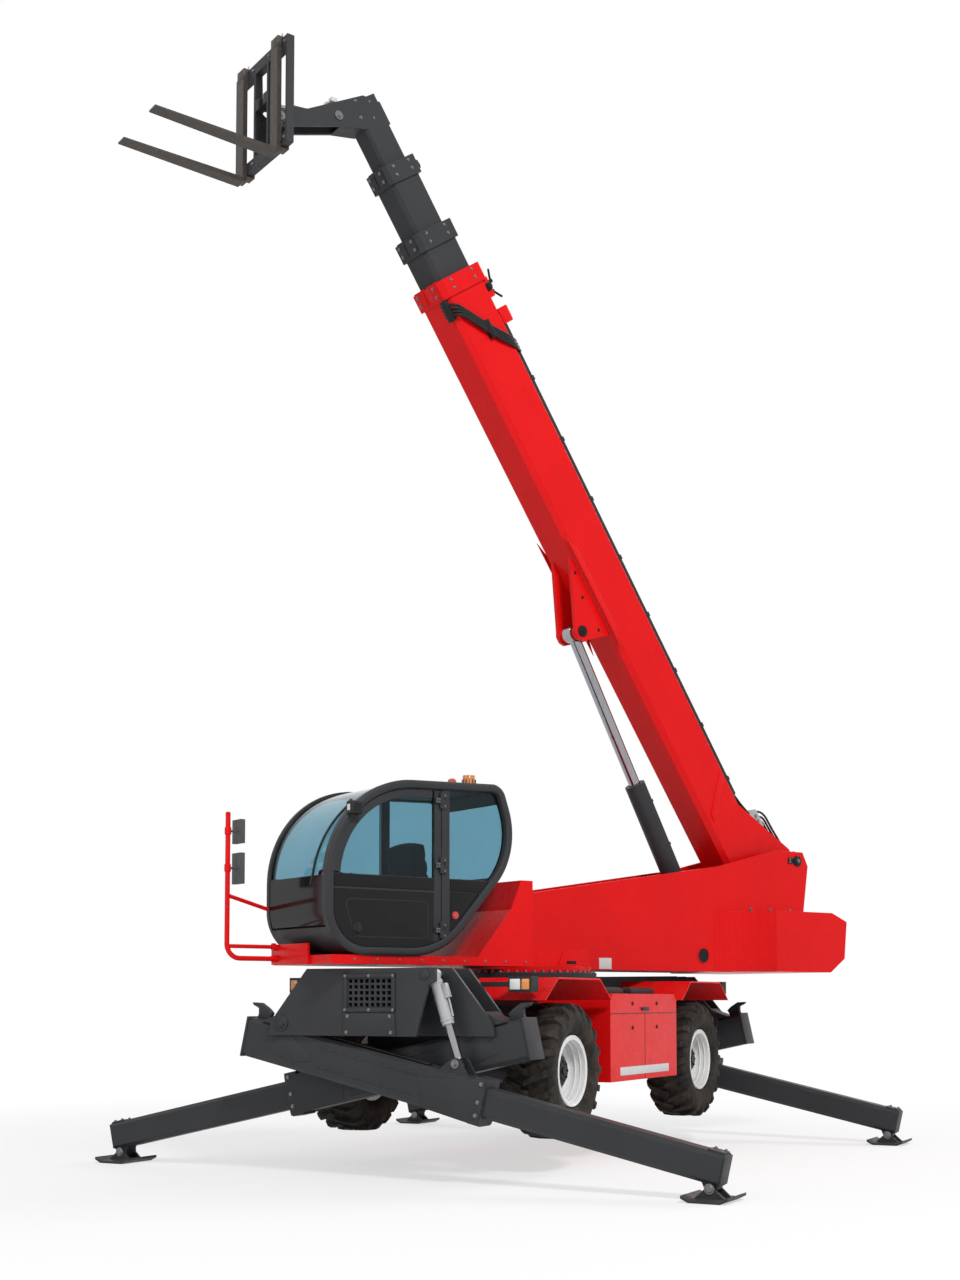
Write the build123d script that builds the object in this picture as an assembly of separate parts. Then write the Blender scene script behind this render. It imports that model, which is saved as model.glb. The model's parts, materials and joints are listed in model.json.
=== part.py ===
from build123d import *
import math
import os

# Driving dimensions, in millimetres and degrees.
# The chassis frame has +X forward, +Y left, +Z up, and its zero height at the bottom of the tyres.

# Stance in which the machine is parked
SLEW_ANGLE = -26.0
BOOM_ANGLE = 55.0
BEAM_DROP = 12.5
SEAT_GAP = 0.4

# Running gear
WHEELBASE = 3130.0
WHEEL_Y = 990.0
TYRE_RADIUS = 580.0
TYRE_WIDTH = 440.0
TREAD_WIDTH = 350.0
RIM_RADIUS = 280.0
RIM_WIDTH = 356.0
RIM_WALL = 14.0
FLANGE_HEIGHT = 24.0
FLANGE_WIDTH = 18.0
DISC_INSET = 190.0
DISC_THICKNESS = 24.0
HUB_RADIUS = 150.0
HUB_LENGTH = 95.0
KINGPIN_Y = 840.0
KINGPIN_RADIUS = 35.0
KNUCKLE_HALF_HEIGHT = 150.0
KNUCKLE_HALF_LENGTH = 85.0
STUB_RADIUS = 80.0
STUB_LENGTH = 45.0
YOKE_THICKNESS = 55.0
YOKE_HALF_LENGTH = 75.0
AXLE_RADIUS = 110.0
AXLE_END_Y = 640.0

# Chassis girder, deck and slew pedestal
GIRDER_HALF_WIDTH = 380.0
GIRDER_BOTTOM = 700.0
GIRDER_TOP = 1130.0
DECK_HALF_LENGTH = 2300.0
DECK_HALF_WIDTH = 500.0
DECK_TOP = 1300.0
PEDESTAL_RADIUS = 650.0
RING_RADIUS = 600.0
SLEW_PLANE = 1440.0

# Side bodies between the wheels, and fenders over them
BODY_HALF_LENGTH = 820.0
BODY_OUTER_Y = 1200.0
BODY_BOTTOM = 450.0
BODY_TOP = 1240.0
BODY_EDGE = 60.0
PANEL = 15.0
FENDER_TOP = 1370.0
FENDER_OUTER_Y = 1240.0
FENDER_HALF_LENGTH = 690.0
FENDER_DROP = 190.0
FENDER_SLOPE = 260.0
ENGINE_LENGTH = 1150.0
ENGINE_WIDTH = 560.0
ENGINE_HEIGHT = 560.0
ENGINE_BOTTOM = 540.0

# Headlamps on the carriers
LAMP_Y = 1070.0
LAMP_Z = 1310.0
LAMP_WIDTH = 210.0
LAMP_HEIGHT = 130.0
LAMP_DEPTH = 120.0
LAMP_LENS = 12.0
LAMP_ARM = 40.0

# Outrigger carriers: three plates with two bays between them
FRONT_BEAM_X = 2800.0
BAY_WIDTH = 250.0
PLATE = 30.0
PLATE_BOTTOM = 890.0
PLATE_SHOULDER = 1000.0
PLATE_TOP = 1440.0
PLATE_BOTTOM_HALF = 990.0
PLATE_SHOULDER_HALF = 970.0
PLATE_TOP_HALF = 610.0
NOTCH_BOTTOM_Y = 430.0
NOTCH_TOP_Y = 545.0
NOTCH_TOP_Z = 1300.0
TIE_HALF_WIDTH = 350.0
TIE_BOTTOM = 1150.0
GRILLE_WIDTH = 420.0
GRILLE_HEIGHT = 240.0
GRILLE_Z = 1240.0
GRILLE_DEPTH = 90.0
GRILLE_BAR = 18.0
GRILLE_COLUMNS = 8
GRILLE_ROWS = 5

# Outrigger beam, leg and foot, along the beam from its pivot
PIVOT_Y = 860.0
PIVOT_Z = 990.0
PIVOT_RADIUS = 40.0
PIVOT_EYE = 92.0
BEAM_OFFSET = 196.0
BEAM_HEIGHT = 330.0
BEAM_WIDTH = 240.0
BEAM_WALL = 20.0
BEAM_START = -360.0
BEAM_END = 1960.0
COLLAR_LENGTH = 110.0
COLLAR_RAISE = 22.0
LEG_HEIGHT = 240.0
LEG_WIDTH = 190.0
LEG_WALL = 16.0
LEG_CHAMFER = 30.0
LEG_START = 1500.0
LEG_OVERHANG = 60.0
LEG_PAD_LENGTH = 120.0
FOOT_AT = 3880.0
FOOT_PIN_DROP = 150.0
FOOT_PIN_RADIUS = 25.0
FOOT_EYE = 44.0
FOOT_CHEEK_TOP = 12.0
FOOT_PIN_HEIGHT = 95.0
FOOT_CHEEK = 20.0
FOOT_PLATE = 22.0
FOOT_LENGTH = 360.0
FOOT_WIDTH = 420.0
FOOT_TOE = 60.0
LEG_TONGUE = 130.0

# Outrigger jack
JACK_PIN_Y = 510.0
JACK_PIN_Z = 1388.0
JACK_PIN_RADIUS = 28.0
JACK_EYE_AT = 1640.0
JACK_EYE_HEIGHT = 75.0
JACK_EYE_RADIUS = 45.0
JACK_EYE_WIDTH = 90.0
JACK_BARREL_RADIUS = 50.0
JACK_BARREL_LENGTH = 425.0
JACK_CAP = 50.0
JACK_ROD_RADIUS = 32.0
JACK_ROD_LENGTH = 425.0
JACK_CHEEK = 25.0
JACK_BOSS = 38.0

# Turret: two side plates form a channel for the boom
BOOM_Y = -100.0
BOOM_PIVOT_X = -3470.0
BOOM_PIVOT_Z = 2690.0
CHANNEL_WIDTH = 700.0
TURRET_PLATE = 40.0
TURRET_BOTTOM = 1475.0
TURRET_FLOOR = 25.0
TURRET_FRONT = 900.0
TURRET_NOSE_TOP = 2130.0
TURRET_TAIL = -3640.0
TURRET_CREST = ((200.0, 2200.0), (-2300.0, 2580.0))
TURRET_HEAD = 100.0
TURRET_HEAD_FRONT = 320.0
TURRET_HEAD_REAR = 90.0
TURRET_SILL = 220.0
PIVOT_PIN_RADIUS = 60.0
PLATFORM_TOP = 1550.0
PLATFORM_FRONT = 2960.0
FAIRING_TOP = 2230.0
FAIRING_REAR = 900.0
FAIRING_LENGTH = 240.0
FAIRING_FLAT = 130.0
FAIRING_WAIST = 420.0
FAIRING_TOE = 600.0
WEIGHT_HALF_WIDTH = 800.0
WEIGHT_FRONT = -2700.0
WEIGHT_REAR = -3790.0
WEIGHT_TOP = 2110.0
WEIGHT_SHOULDER = -3560.0
WEIGHT_BEVEL = 90.0
WEIGHT_HEEL = 150.0
WEIGHT_UNDERCUT = 260.0
WEIGHT_LEAN = 40.0
TAIL_SWING = 860.0

# Cab
CAB_RIGHT = 220.0
CAB_LEFT = 1200.0
CAB_CORNERS = ((1880.0, 1550.0, 260.0), (2850.0, 1550.0, 110.0), (3080.0, 2120.0, 560.0),
               (2420.0, 3010.0, 420.0), (1250.0, 3050.0, 140.0), (1050.0, 2480.0, 420.0))
CAB_BACK = 1000.0
CAB_FRONT = 3200.0
CAB_OVER = 3100.0
CAB_WALL = 50.0
CAB_FRAME = 66.0
DOOR_GAP = 6.0
DOOR_DEPTH = 45.0
PILLAR_REAR = 1800.0
PILLAR_FRONT = 1880.0
GLASS = 8.0
GLASS_INSET = 20.0
SILL_FRONT = 1780.0
SCREEN_REAR = 2150.0
SCREEN_TOP = 3000.0
REAR_PANE_FRONT = 1300.0
PANE_EDGE = 86.0
DOOR_STILE = 66.0
BELT = 2210.0
LINTEL = 2900.0
HINGE_RADIUS = 14.0
HINGE_STAND = 4.0
HINGE_HEIGHT = 45.0
HINGE_LEVELS = (1700.0, 2250.0, 2800.0)

# Seat and steering column in the cab
SEAT_REAR = 1800.0
SEAT_FRONT = 2340.0
SEAT_WIDTH = 500.0
SEAT_HEIGHT = 260.0
BACK_HEIGHT = 740.0
COLUMN_X = 2600.0
COLUMN_HEIGHT = 560.0
STEERING_RADIUS = 180.0
WHEEL_LEAN = (-0.35, 0.0, 0.94)

# Guard rail, mirrors and beacon
RAIL_RADIUS = 21.0
RAIL_X = 3440.0
RAIL_Y = 320.0
RAIL_TOP = 2740.0
RAIL_LOW = 1530.0
RAIL_BEND = 120.0
MIRROR_LEVELS = (2280.0, 2590.0)
MIRROR_HALF_HEIGHTS = (130.0, 100.0)
MIRROR_HALF_WIDTH = 75.0
MIRROR_DEPTH = 42.0
MIRROR_OFFSET = 58.0
MIRROR_STALK = 10.0
BEACON_X = 1480.0
BEACON_INSET = 160.0
BEACON_RADIUS = 55.0
BEACON_HEIGHT = 90.0

# Boom, in its own frame: X along it from the pivot, Z square to it, Y across
BOOM_AXIS_DROP = 480.0
BASE_TAIL = -250.0
BASE_TIP = 7000.0
BASE_WIDTH = 430.0
BASE_HEIGHT = 560.0
BASE_WALL = 20.0
BASE_CHAMFER = 50.0
STAGE_TIPS = (7470.0, 8130.0, 8750.0)
STAGE_LENGTHS = (6600.0, 6500.0, 6400.0)
STAGE_WIDTHS = (340.0, 280.0, 220.0)
STAGE_HEIGHTS = (470.0, 385.0, 305.0)
STAGE_WALLS = (14.0, 12.0, 12.0)
STAGE_CHAMFERS = (40.0, 34.0, 28.0)
TIP_COLLAR = 25.0
TIP_COLLAR_LENGTH = 175.0
WEAR_PAD = 130.0
PIVOT_LUG = 140.0
PIVOT_BOSS = 110.0

# Lift cylinder
LIFT_FOOT_X = -2480.0
LIFT_FOOT_Z = 1620.0
LIFT_EYE_AT = 3420.0
LIFT_EYE_DEPTH = 1060.0
LIFT_EYE_RADIUS = 85.0
LIFT_EYE_WIDTH = 120.0
LIFT_BARREL_RADIUS = 107.0
LIFT_BARREL_LENGTH = 2060.0
LIFT_ROD_RADIUS = 60.0
LIFT_ROD_LENGTH = 2250.0
LIFT_CAP = 130.0
LIFT_PIN_RADIUS = 45.0
LIFT_CHEEK = 40.0
LIFT_BOSS = 70.0
LIFT_LUG_REAR = 200.0
LIFT_LUG_FRONT = 700.0
BARREL_ROOM = 8.0

# Nose arm, fork carriage and forks
NOSE_PIVOT_X = 8865.0
NOSE_PIVOT_Z = -1490.0
NOSE_HALF_WIDTH = 105.0
NOSE_PLATE = 30.0
NOSE_TIP_RADIUS = 60.0
NOSE_ROOT = 300.0
NOSE_BROW = 300.0
NOSE_CHIN = 400.0
CARRIAGE_PIN_RADIUS = 25.0
CARRIAGE_EAR = 30.0
CARRIAGE_REAR = 60.0
CARRIAGE_DEPTH = 70.0
CARRIAGE_HALF_WIDTH = 475.0
CARRIAGE_TOP = 550.0
CARRIAGE_BOTTOM = -420.0
CARRIAGE_BAR = 100.0
FORK_SPREAD = 315.0
FORK_WIDTH = 120.0
FORK_THICKNESS = 45.0
FORK_LENGTH = 1150.0
FORK_BOTTOM = -500.0
FORK_SHANK_TOP = 500.0
FORK_TIP = 14.0

# Tilt cylinder, from the fork carriage's pin
TILT_FOOT_BACK = 620.0
TILT_FOOT_UP = 220.0
TILT_EYE_UP = 150.0
TILT_EYE_RADIUS = 34.0
TILT_EYE_WIDTH = 60.0
TILT_BARREL_RADIUS = 45.0
TILT_BARREL_LENGTH = 440.0
TILT_ROD_RADIUS = 25.0
TILT_ROD_LENGTH = 425.0
TILT_CAP = 55.0
TILT_PIN_RADIUS = 18.0
TILT_CHEEK = 26.0
TILT_SEAT = 50.0

# Frames worked out from the driving dimensions
DROP = math.radians(BEAM_DROP)
FOOT_DEPTH = BEAM_OFFSET + FOOT_PIN_DROP
FOOT_PIN_Z = PIVOT_Z - FOOT_AT * math.sin(DROP) - FOOT_DEPTH * math.cos(DROP)
WHEEL_LIFT = FOOT_PIN_HEIGHT - FOOT_PIN_Z
REAR_BEAM_X = FRONT_BEAM_X - BAY_WIDTH - PLATE
CARRIER_FRONT = FRONT_BEAM_X + BAY_WIDTH / 2 + PLATE
CARRIER_REAR = REAR_BEAM_X - BAY_WIDTH / 2 - PLATE

CHASSIS = Pos(0, 0, WHEEL_LIFT)
TURRET = CHASSIS * Rot(0, 0, SLEW_ANGLE)
BOOM = TURRET * Pos(BOOM_PIVOT_X, BOOM_Y, BOOM_PIVOT_Z) * Rot(0, -BOOM_ANGLE, 0)
CARRIAGE = BOOM * Pos(NOSE_PIVOT_X, 0, NOSE_PIVOT_Z) * Rot(0, BOOM_ANGLE, 0)

# Each corner: its end of the chassis, and which bay and side its beam starts from
CORNERS = {
    "fl": Pos(FRONT_BEAM_X, -PIVOT_Y, PIVOT_Z) * Rot(0, 0, 90),
    "fr": Pos(REAR_BEAM_X, PIVOT_Y, PIVOT_Z) * Rot(0, 0, -90),
    "rr": Rot(0, 0, 180) * Pos(FRONT_BEAM_X, -PIVOT_Y, PIVOT_Z) * Rot(0, 0, 90),
    "rl": Rot(0, 0, 180) * Pos(REAR_BEAM_X, PIVOT_Y, PIVOT_Z) * Rot(0, 0, -90),
}
WHEELS = {"fl": (1, 1), "fr": (1, -1), "rl": (-1, 1), "rr": (-1, -1)}


# Small helpers for prisms, boxes and round bars

def box(x0, x1, y0, y1, z0, z1):
    return Pos((x0 + x1) / 2, (y0 + y1) / 2, (z0 + z1) / 2) * Box(x1 - x0, y1 - y0, z1 - z0)


def prism_xz(points, y0, y1):
    face = make_face(Polyline(*[(x, y0, z) for x, z in points], close=True))
    return extrude(face, amount=y1 - y0, dir=(0, 1, 0))


def prism_yz(points, x0, x1):
    face = make_face(Polyline(*[(x0, y, z) for y, z in points], close=True))
    return extrude(face, amount=x1 - x0, dir=(1, 0, 0))


def bar(radius, start, end):
    start, end = Vector(*start), Vector(*end)
    axis = end - start
    return Solid.make_cylinder(radius, axis.length, Plane(start, z_dir=axis.normalized()))


def bar_y(radius, x, z, y0, y1):
    return bar(radius, (x, y0, z), (x, y1, z))


def both_sides(shape):
    return shape + mirror(shape, about=Plane.XZ)


def section(width, height, chamfer, drop, x0, x1):
    """A box section along X with chamfered edges, its centre `drop` below the X axis."""
    w, h, c = width / 2, height / 2, chamfer
    points = [(-w, c - h), (c - w, -h), (w - c, -h), (w, c - h),
              (w, h - c), (w - c, h), (c - w, h), (-w, h - c)]
    return prism_yz([(y, z - drop) for y, z in points], x0, x1)


def save(name, shape, frame):
    solids = shape if isinstance(shape, list) else list(shape.solids())
    moved = [frame * solid for solid in solids]
    part = moved[0] if len(moved) == 1 else Compound(children=moved)
    export_step(part, os.path.join("parts", name + ".step"))


# Hydraulic cylinder along X: a barrel with its eye at the origin, and a rod with its eye at `length`

def barrel(radius, length, rod_radius, cap, eye_radius, eye_width, pin_radius):
    body = bar(radius, (1.1 * eye_radius, 0, 0), (length, 0, 0))
    body += bar(eye_width / 2, (0, 0, 0), (1.2 * eye_radius, 0, 0))
    body += bar_y(eye_radius, 0, 0, -eye_width / 2, eye_width / 2)
    body -= bar(rod_radius + SEAT_GAP, (cap, 0, 0), (length + 1, 0, 0))
    return body - bar_y(pin_radius + SEAT_GAP, 0, 0, -eye_width, eye_width)


def rod(radius, length, at, eye_radius, eye_width, pin_radius):
    body = bar(radius, (at - length, 0, 0), (at - eye_radius / 2, 0, 0))
    body += bar_y(eye_radius, at, 0, -eye_width / 2, eye_width / 2)
    return body - bar_y(pin_radius, at, 0, -eye_width, eye_width)


# Chassis

def carrier():
    """The front carrier: plates, tie box, beam pivots and jack pins."""
    full = [(-PLATE_BOTTOM_HALF, PLATE_BOTTOM), (PLATE_BOTTOM_HALF, PLATE_BOTTOM),
            (PLATE_SHOULDER_HALF, PLATE_SHOULDER), (PLATE_TOP_HALF, PLATE_TOP),
            (-PLATE_TOP_HALF, PLATE_TOP), (-PLATE_SHOULDER_HALF, PLATE_SHOULDER)]
    notched = [full[0], (NOTCH_BOTTOM_Y, PLATE_BOTTOM), (NOTCH_TOP_Y, NOTCH_TOP_Z),
               (PLATE_TOP_HALF, NOTCH_TOP_Z + PLATE), full[3], full[4], full[5]]
    front = CARRIER_FRONT - PLATE
    middle = FRONT_BEAM_X - BAY_WIDTH / 2 - PLATE
    body = prism_yz(notched, front, front + PLATE)
    body += prism_yz(full, middle, middle + PLATE)
    body += prism_yz(full, CARRIER_REAR, CARRIER_REAR + PLATE)
    body += box(CARRIER_REAR, front, -TIE_HALF_WIDTH, TIE_HALF_WIDTH, TIE_BOTTOM, PLATE_TOP)
    for y, x0, x1 in ((-PIVOT_Y, middle, CARRIER_FRONT), (PIVOT_Y, CARRIER_REAR, middle)):
        body += bar(PIVOT_RADIUS, (x0, y, PIVOT_Z), (x1, y, PIVOT_Z))
        body += bar(JACK_PIN_RADIUS, (x0, math.copysign(JACK_PIN_Y, -y), JACK_PIN_Z),
                    (x1, math.copysign(JACK_PIN_Y, -y), JACK_PIN_Z))
    pitch_y = GRILLE_WIDTH / GRILLE_COLUMNS
    pitch_z = GRILLE_HEIGHT / GRILLE_ROWS
    for column in range(GRILLE_COLUMNS):
        for row in range(GRILLE_ROWS):
            y = -GRILLE_WIDTH / 2 + (column + 0.5) * pitch_y
            z = GRILLE_Z - GRILLE_HEIGHT / 2 + (row + 0.5) * pitch_z
            body -= box(CARRIER_FRONT - GRILLE_DEPTH, CARRIER_FRONT + 1,
                        y - (pitch_y - GRILLE_BAR) / 2, y + (pitch_y - GRILLE_BAR) / 2,
                        z - (pitch_z - GRILLE_BAR) / 2, z + (pitch_z - GRILLE_BAR) / 2)
    return body


def chassis_frame():
    body = box(-CARRIER_REAR, CARRIER_REAR, -GIRDER_HALF_WIDTH, GIRDER_HALF_WIDTH,
               GIRDER_BOTTOM, GIRDER_TOP)
    body += box(-DECK_HALF_LENGTH, DECK_HALF_LENGTH, -DECK_HALF_WIDTH, DECK_HALF_WIDTH,
                GIRDER_TOP, DECK_TOP)
    body += bar(PEDESTAL_RADIUS, (0, 0, DECK_TOP - PANEL), (0, 0, SLEW_PLANE))
    end = carrier()
    return body + end + Rot(0, 0, 180) * end


def side_body():
    """The left body's outline: a box with its two upper edges cut at a slope."""
    points = [(-BODY_HALF_LENGTH, BODY_BOTTOM), (BODY_HALF_LENGTH, BODY_BOTTOM),
              (BODY_HALF_LENGTH, BODY_TOP - BODY_EDGE), (BODY_HALF_LENGTH - BODY_EDGE, BODY_TOP),
              (BODY_EDGE - BODY_HALF_LENGTH, BODY_TOP), (-BODY_HALF_LENGTH, BODY_TOP - BODY_EDGE)]
    upper = prism_xz(points, DECK_HALF_WIDTH, BODY_OUTER_Y)
    inner = box(-BODY_HALF_LENGTH, BODY_HALF_LENGTH, GIRDER_HALF_WIDTH, DECK_HALF_WIDTH,
                BODY_BOTTOM, GIRDER_TOP)
    return upper + inner


def engine_hood():
    """The right body is a cover, open towards the girder, with the engine inside."""
    cover = side_body()
    cover -= box(PANEL - BODY_HALF_LENGTH, BODY_HALF_LENGTH - PANEL, GIRDER_HALF_WIDTH - 1,
                 BODY_OUTER_Y - PANEL, BODY_BOTTOM + PANEL, GIRDER_TOP - PANEL)
    return mirror(cover, about=Plane.XZ)


def engine_block():
    return box(-ENGINE_LENGTH / 2, ENGINE_LENGTH / 2, -GIRDER_HALF_WIDTH - ENGINE_WIDTH,
               -GIRDER_HALF_WIDTH, ENGINE_BOTTOM, ENGINE_BOTTOM + ENGINE_HEIGHT)


def fenders():
    a, s = FENDER_HALF_LENGTH, FENDER_SLOPE
    low = FENDER_TOP - FENDER_DROP
    outline = [(-a, low), (s - a, FENDER_TOP), (a - s, FENDER_TOP), (a, low), (a - PANEL, low),
               (a - s, FENDER_TOP - PANEL), (s - a, FENDER_TOP - PANEL), (PANEL - a, low)]
    sheet = prism_xz(outline, DECK_HALF_WIDTH, FENDER_OUTER_Y)
    sheets = []
    for end, side in WHEELS.values():
        one = Pos(end * WHEELBASE / 2, 0, 0) * sheet
        sheets.append(one if side > 0 else mirror(one, about=Plane.XZ))
    return sheets


def axle():
    z = TYRE_RADIUS
    half = bar_y(AXLE_RADIUS, 0, z, 0, AXLE_END_Y)
    half += box(-YOKE_HALF_LENGTH, YOKE_HALF_LENGTH, AXLE_END_Y - 100, AXLE_END_Y,
                z - KNUCKLE_HALF_HEIGHT - YOKE_THICKNESS, z + KNUCKLE_HALF_HEIGHT + YOKE_THICKNESS)
    for up in (1, -1):
        z0 = z + up * (KNUCKLE_HALF_HEIGHT + SEAT_GAP)
        z1 = z + up * (KNUCKLE_HALF_HEIGHT + YOKE_THICKNESS)
        arm = box(-YOKE_HALF_LENGTH, YOKE_HALF_LENGTH, AXLE_END_Y - 100, KINGPIN_Y + YOKE_HALF_LENGTH,
                  min(z0, z1), max(z0, z1))
        half += arm - bar(KINGPIN_RADIUS + SEAT_GAP, (0, KINGPIN_Y, z0 - up), (0, KINGPIN_Y, z1 + up))
    half += box(-AXLE_RADIUS, AXLE_RADIUS, 0, GIRDER_HALF_WIDTH, z, GIRDER_BOTTOM)
    half += bar(AXLE_RADIUS * 1.5, (-AXLE_RADIUS * 1.4, 0, z - 50), (AXLE_RADIUS * 1.4, 0, z - 50))
    half = half & box(-500, 500, 0, BODY_OUTER_Y, 0, GIRDER_BOTTOM + KNUCKLE_HALF_HEIGHT)
    clear = box(-500, 500, -1, GIRDER_HALF_WIDTH, GIRDER_BOTTOM, GIRDER_TOP)
    return both_sides(half - clear)


def axles():
    one = axle()
    return [Pos(end * WHEELBASE / 2, 0, 0) * one.solid() for end in (1, -1)]


def lamps():
    """Four lamp boxes, each on an arm that is bolted to its carrier's inner plate."""
    x1 = CARRIER_REAR
    head = box(x1 - LAMP_DEPTH, x1 + LAMP_LENS, LAMP_Y - LAMP_WIDTH / 2, LAMP_Y + LAMP_WIDTH / 2,
               LAMP_Z - LAMP_HEIGHT / 2, LAMP_Z + LAMP_HEIGHT / 2)
    arm = box(x1 - LAMP_ARM, x1, PLATE_TOP_HALF - LAMP_ARM, LAMP_Y,
              LAMP_Z - LAMP_ARM / 2, LAMP_Z + LAMP_ARM / 2)
    one = (head + arm).solid()
    front = [one, mirror(one, about=Plane.XZ)]
    return front + [Rot(0, 0, 180) * lamp for lamp in front]


# Running gear, about the wheel's centre with the outside at +Y

def knuckle():
    h, half = KNUCKLE_HALF_HEIGHT, KNUCKLE_HALF_LENGTH
    disc_inner = RIM_WIDTH / 2 - DISC_INSET - DISC_THICKNESS - SEAT_GAP
    pin_y = KINGPIN_Y - WHEEL_Y
    body = box(-half, half, pin_y - 70, disc_inner - 30, -h, h)
    body += bar_y(HUB_RADIUS, 0, 0, disc_inner - 32, disc_inner)
    body += bar_y(STUB_RADIUS, 0, 0, disc_inner - 1, disc_inner + STUB_LENGTH)
    return body + bar(KINGPIN_RADIUS, (0, pin_y, -h - YOKE_THICKNESS), (0, pin_y, h + YOKE_THICKNESS))


def revolved(points):
    """A ring about Y from (y, radius) points."""
    face = make_face(Polyline(*[(radius, y, 0) for y, radius in points], close=True))
    return revolve(face, Axis.Y, 360)


def rim():
    w, r, f = RIM_WIDTH / 2, RIM_RADIUS, FLANGE_WIDTH
    inner = r - RIM_WALL
    outline = [(-w, inner), (w, inner), (w, r + FLANGE_HEIGHT), (w - f, r + FLANGE_HEIGHT),
               (w - f, r), (f - w, r), (f - w, r + FLANGE_HEIGHT), (-w, r + FLANGE_HEIGHT)]
    d1 = w - DISC_INSET
    d0 = d1 - DISC_THICKNESS
    disc = [(d0, 0), (d0, inner + 1), (d1 + 40, inner + 1), (d1 + 40, inner - 30), (d1, inner - 70),
            (d1, HUB_RADIUS), (d1 + HUB_LENGTH * 0.7, HUB_RADIUS), (d1 + HUB_LENGTH, HUB_RADIUS * 0.7),
            (d1 + HUB_LENGTH, 0)]
    bore = bar_y(STUB_RADIUS + SEAT_GAP, 0, 0, d0 - 1, d0 + STUB_LENGTH + SEAT_GAP)
    return revolved(outline) + revolved(disc) - bore


def tyre():
    bead = RIM_WIDTH / 2 - FLANGE_WIDTH - SEAT_GAP
    half, tread, r = TYRE_WIDTH / 2, TREAD_WIDTH / 2, TYRE_RADIUS
    seat = RIM_RADIUS + SEAT_GAP
    wall = seat + FLANGE_HEIGHT
    side = [(bead, seat), (bead, wall), (half * 0.9, wall + 35), (half, (wall + r) / 2),
            (half * 0.95, r - 60), (tread, r - 8)]
    outline = side + [(0, r)] + [(-y, radius) for y, radius in reversed(side)]
    return revolved(outline)


# Outrigger, along X from the beam's pivot

def outrigger_beam():
    top = BEAM_HEIGHT / 2 - BEAM_OFFSET
    eye_z = top + JACK_EYE_HEIGHT
    body = section(BEAM_WIDTH, BEAM_HEIGHT, LEG_CHAMFER, BEAM_OFFSET, BEAM_START, BEAM_END)
    body += section(BEAM_WIDTH, BEAM_HEIGHT + 2 * COLLAR_RAISE, LEG_CHAMFER, BEAM_OFFSET,
                    BEAM_END - COLLAR_LENGTH, BEAM_END)
    body -= section(BEAM_WIDTH - 2 * BEAM_WALL, BEAM_HEIGHT - 2 * BEAM_WALL, LEG_CHAMFER, BEAM_OFFSET,
                    BEAM_START + BEAM_WALL, BEAM_END - COLLAR_LENGTH)
    body -= section(LEG_WIDTH + 2 * SEAT_GAP, LEG_HEIGHT + 2 * SEAT_GAP, LEG_CHAMFER, BEAM_OFFSET,
                    BEAM_END - COLLAR_LENGTH - 1, BEAM_END + 1)
    lug = [(-2.4 * PIVOT_EYE, top - 1), (-PIVOT_EYE, PIVOT_EYE * 0.5), (-PIVOT_EYE * 0.5, PIVOT_EYE),
           (PIVOT_EYE * 0.5, PIVOT_EYE), (PIVOT_EYE, PIVOT_EYE * 0.5), (2.4 * PIVOT_EYE, top - 1)]
    body += prism_xz(lug, -BEAM_WIDTH / 2, BEAM_WIDTH / 2)
    body -= bar_y(PIVOT_RADIUS + SEAT_GAP, 0, 0, -BEAM_WIDTH, BEAM_WIDTH)
    c = JACK_EYE_RADIUS
    cheek = [(JACK_EYE_AT - 3 * c, top - 1), (JACK_EYE_AT - c, eye_z + c * 0.6),
             (JACK_EYE_AT - c * 0.5, eye_z + c), (JACK_EYE_AT + c * 0.5, eye_z + c),
             (JACK_EYE_AT + c, eye_z + c * 0.6), (JACK_EYE_AT + 3 * c, top - 1)]
    near = JACK_BARREL_RADIUS + BARREL_ROOM
    side = prism_xz(cheek, near, near + JACK_CHEEK)
    side += bar_y(JACK_BOSS, JACK_EYE_AT, eye_z, JACK_EYE_WIDTH / 2 + SEAT_GAP, near + 1)
    return body + side + mirror(side, about=Plane.XZ)


def outrigger_leg():
    outer_w = BEAM_WIDTH - 2 * BEAM_WALL - 2 * SEAT_GAP
    outer_h = BEAM_HEIGHT - 2 * BEAM_WALL - 2 * SEAT_GAP
    end = FOOT_AT + LEG_OVERHANG
    body = section(LEG_WIDTH, LEG_HEIGHT, LEG_CHAMFER, BEAM_OFFSET, LEG_START, end)
    body += section(outer_w, outer_h, LEG_CHAMFER, BEAM_OFFSET, LEG_START, LEG_START + LEG_PAD_LENGTH)
    body -= section(LEG_WIDTH - 2 * LEG_WALL, LEG_HEIGHT - 2 * LEG_WALL, LEG_CHAMFER, BEAM_OFFSET,
                    LEG_START - 1, FOOT_AT - 200)
    tongue = [(FOOT_AT - 2.2 * FOOT_EYE, LEG_CHAMFER - BEAM_OFFSET - LEG_HEIGHT / 2),
              (FOOT_AT - FOOT_EYE * 0.5, -FOOT_DEPTH - FOOT_EYE),
              (FOOT_AT + FOOT_EYE * 0.5, -FOOT_DEPTH - FOOT_EYE),
              (FOOT_AT + FOOT_EYE, -FOOT_DEPTH), (FOOT_AT + FOOT_EYE, LEG_CHAMFER - BEAM_OFFSET - LEG_HEIGHT / 2)]
    body += prism_xz(tongue, -LEG_TONGUE / 2, LEG_TONGUE / 2)
    return body - bar_y(FOOT_PIN_RADIUS + SEAT_GAP, FOOT_AT, -FOOT_DEPTH, -BEAM_WIDTH, BEAM_WIDTH)


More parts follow.
